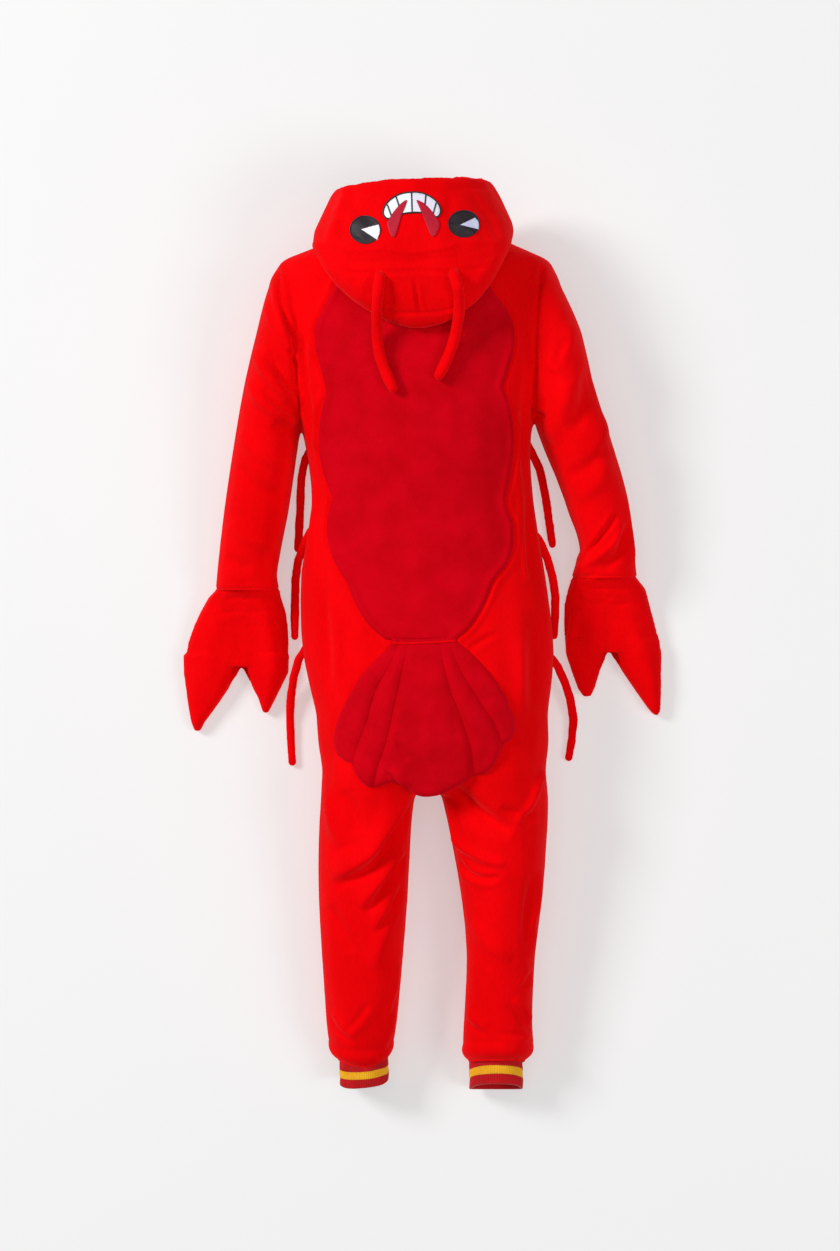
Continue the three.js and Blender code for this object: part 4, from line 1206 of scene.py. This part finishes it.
def build_patch(name, outline, lift, finish, *nodes):
    """A stitched patch: its outline filled with small cells and laid on the hood."""
    bm = bmesh.new()
    bm.faces.new([bm.verts.new((x, y, 0)) for x, y in outline])
    low, high = np.min(outline, axis=0), np.max(outline, axis=0)
    for axis in (0, 1):
        normal = Vector((1, 0, 0)) if axis == 0 else Vector((0, 1, 0))
        for at in np.arange(low[axis] + PATCH_CELL, high[axis], PATCH_CELL):
            bmesh.ops.bisect_plane(
                bm, geom=bm.verts[:] + bm.edges[:] + bm.faces[:], dist=1e-5,
                plane_co=normal * at, plane_no=normal)
    bmesh.ops.triangulate(bm, faces=bm.faces)
    border = {v for v in bm.verts if v.is_boundary}
    for vert in bm.verts:
        hit, normal = throw(hood_skin, vert.co.x, vert.co.y)
        raise_by = lift if vert not in border else lift - 0.5 * MM
        vert.co = hit + normal * raise_by
    bmesh.ops.recalc_face_normals(bm, faces=bm.faces)
    obj = from_bmesh(name, bm)
    if get_normals(obj)[:, 2].mean() < 0:
        obj.data.flip_normals()
    thicken(obj, lift + 0.6 * MM)
    finish_piece(obj, finish, *nodes)


def build_thread(name, lines, surface, lift, radius, finish, *nodes, closed=False):
    """Satin-stitched lines: flattened cords of thread laid on the plush."""
    laid = []
    for line in lines:
        spots = [throw(surface, x, y) for x, y in line]
        laid.append([(hit + normal * lift, normal) for hit, normal in spots])
    finish_piece(cord_mesh(name, laid, radius, flat=0.55, closed=closed), finish, *nodes)


def dense(line, gap=0.8):
    """The same line with points no further apart than the gap."""
    result = []
    for (ax, ay), (bx, by) in zip(line, line[1:]):
        count = max(1, int(math.hypot(bx - ax, by - ay) / gap))
        result += [(ax + (bx - ax) * k / count, ay + (by - ay) * k / count) for k in range(count)]
    return result + [line[-1]]


def build_face():
    for side in SIDES:
        rim = ellipse(*EYES[side])
        build_patch(f"eye_patch_{side}", rim, EYE_LIFT, BLACK, f"eye_{side}")
        build_thread(f"eye_edge_{side}", [rim], hood_skin, EYE_LIFT, 1.1 * MM, BLACK, closed=True)
        # The right eye's glint is white felt with painted shade, the left one plain white felt
        white = WHITE if side == "left" else WHITE_PAINTED_DEEP_SHADE
        build_patch(f"glint_patch_{side}", GLINTS[side], GLINT_LIFT, white, f"eye_glint_{side}")
    outline = closed_outline(MOUTH)
    build_patch("mouth_patch", outline, EYE_LIFT, WHITE, "mouth")
    # Painted shade over the right half of the teeth: a darker, bluer copy of the white felt
    build_patch("mouth_painted_shade", MOUTH_PAINTED_SHADE, EYE_LIFT + 0.3 * MM, WHITE_PAINTED_SHADE)
    lines = [dense(line) for line in TOOTH_LINES]
    build_thread("tooth_lines", lines, hood_skin, GLINT_LIFT, 1.15 * MM, BLACK, "mouth_line")
    build_thread("mouth_edge", [outline], hood_skin, GLINT_LIFT, 1.3 * MM, BLACK, closed=True)
    for side in SIDES:
        horn = closed_outline(MANDIBLES[side])
        build_patch(f"mandible_patch_{side}", horn, MANDIBLE_LIFT, MANDIBLE, f"mandible_{side}")


build_face()
root_stitch = dense(smooth_line(FAN_ROOT_STITCH), 1.5)
build_thread("fan_root_seam", [root_stitch], tail_skin, 1.4 * MM, 1.7 * MM, PLUSH)

# --- Camera, floor and light


def add_area(name, at, aim, size, power):
    light = bpy.data.lights.new(name, "AREA")
    light.shape = "RECTANGLE"
    light.size = light.size_y = size
    light.energy = power
    lamp = bpy.data.objects.new(name, light)
    lamp.location = at
    lamp.rotation_euler = (Vector(aim) - Vector(at)).to_track_quat("-Z", "Y").to_euler()
    bpy.context.scene.collection.objects.link(lamp)


def floor_material():
    recipe = Recipe("studio_floor")
    tone = recipe.ramp(recipe.noise(1.5, 2.0, 0.5), 0.2, 0.8, (0.50,) * 3, (0.51,) * 3)
    return recipe.finish(
        tone, Roughness=0.95, Emission_Color=(1, 1, 1, 1), Emission_Strength=0.40,
        Specular_IOR_Level=0.0)


def build_studio():
    scene = bpy.context.scene
    camera = bpy.data.cameras.new("camera")
    camera.sensor_width = SENSOR
    camera.lens = SENSOR * PLANE_DISTANCE / (PIXEL * PHOTO_SIZE[1])
    viewer = bpy.data.objects.new("camera", camera)
    viewer.location = CAMERA_AT
    scene.collection.objects.link(viewer)
    scene.camera = viewer
    bm = bmesh.new()
    bmesh.ops.create_grid(bm, x_segments=8, y_segments=8, size=9.0)
    floor = from_bmesh("floor", bm)
    floor.location.z = -0.5 * MM
    floor.data.materials.append(floor_material())
    add_area("key", (-5.5, 3.0, 4.8), (0, 0, 0.1), 2.2, 415)
    add_area("fill", (5.0, -1.5, 6.0), (0, 0, 0.1), 3.0, 165)
    add_area("top", (0, 0, 6.5), (0, 0, 0), 5.0, 95)
    world = bpy.data.worlds.new("studio")
    world.use_nodes = True
    world.node_tree.nodes["Background"].inputs["Color"].default_value = (1, 1, 1, 1)
    world.node_tree.nodes["Background"].inputs["Strength"].default_value = 0.23
    scene.world = world
    scene.view_settings.view_transform = "Standard"


build_studio()
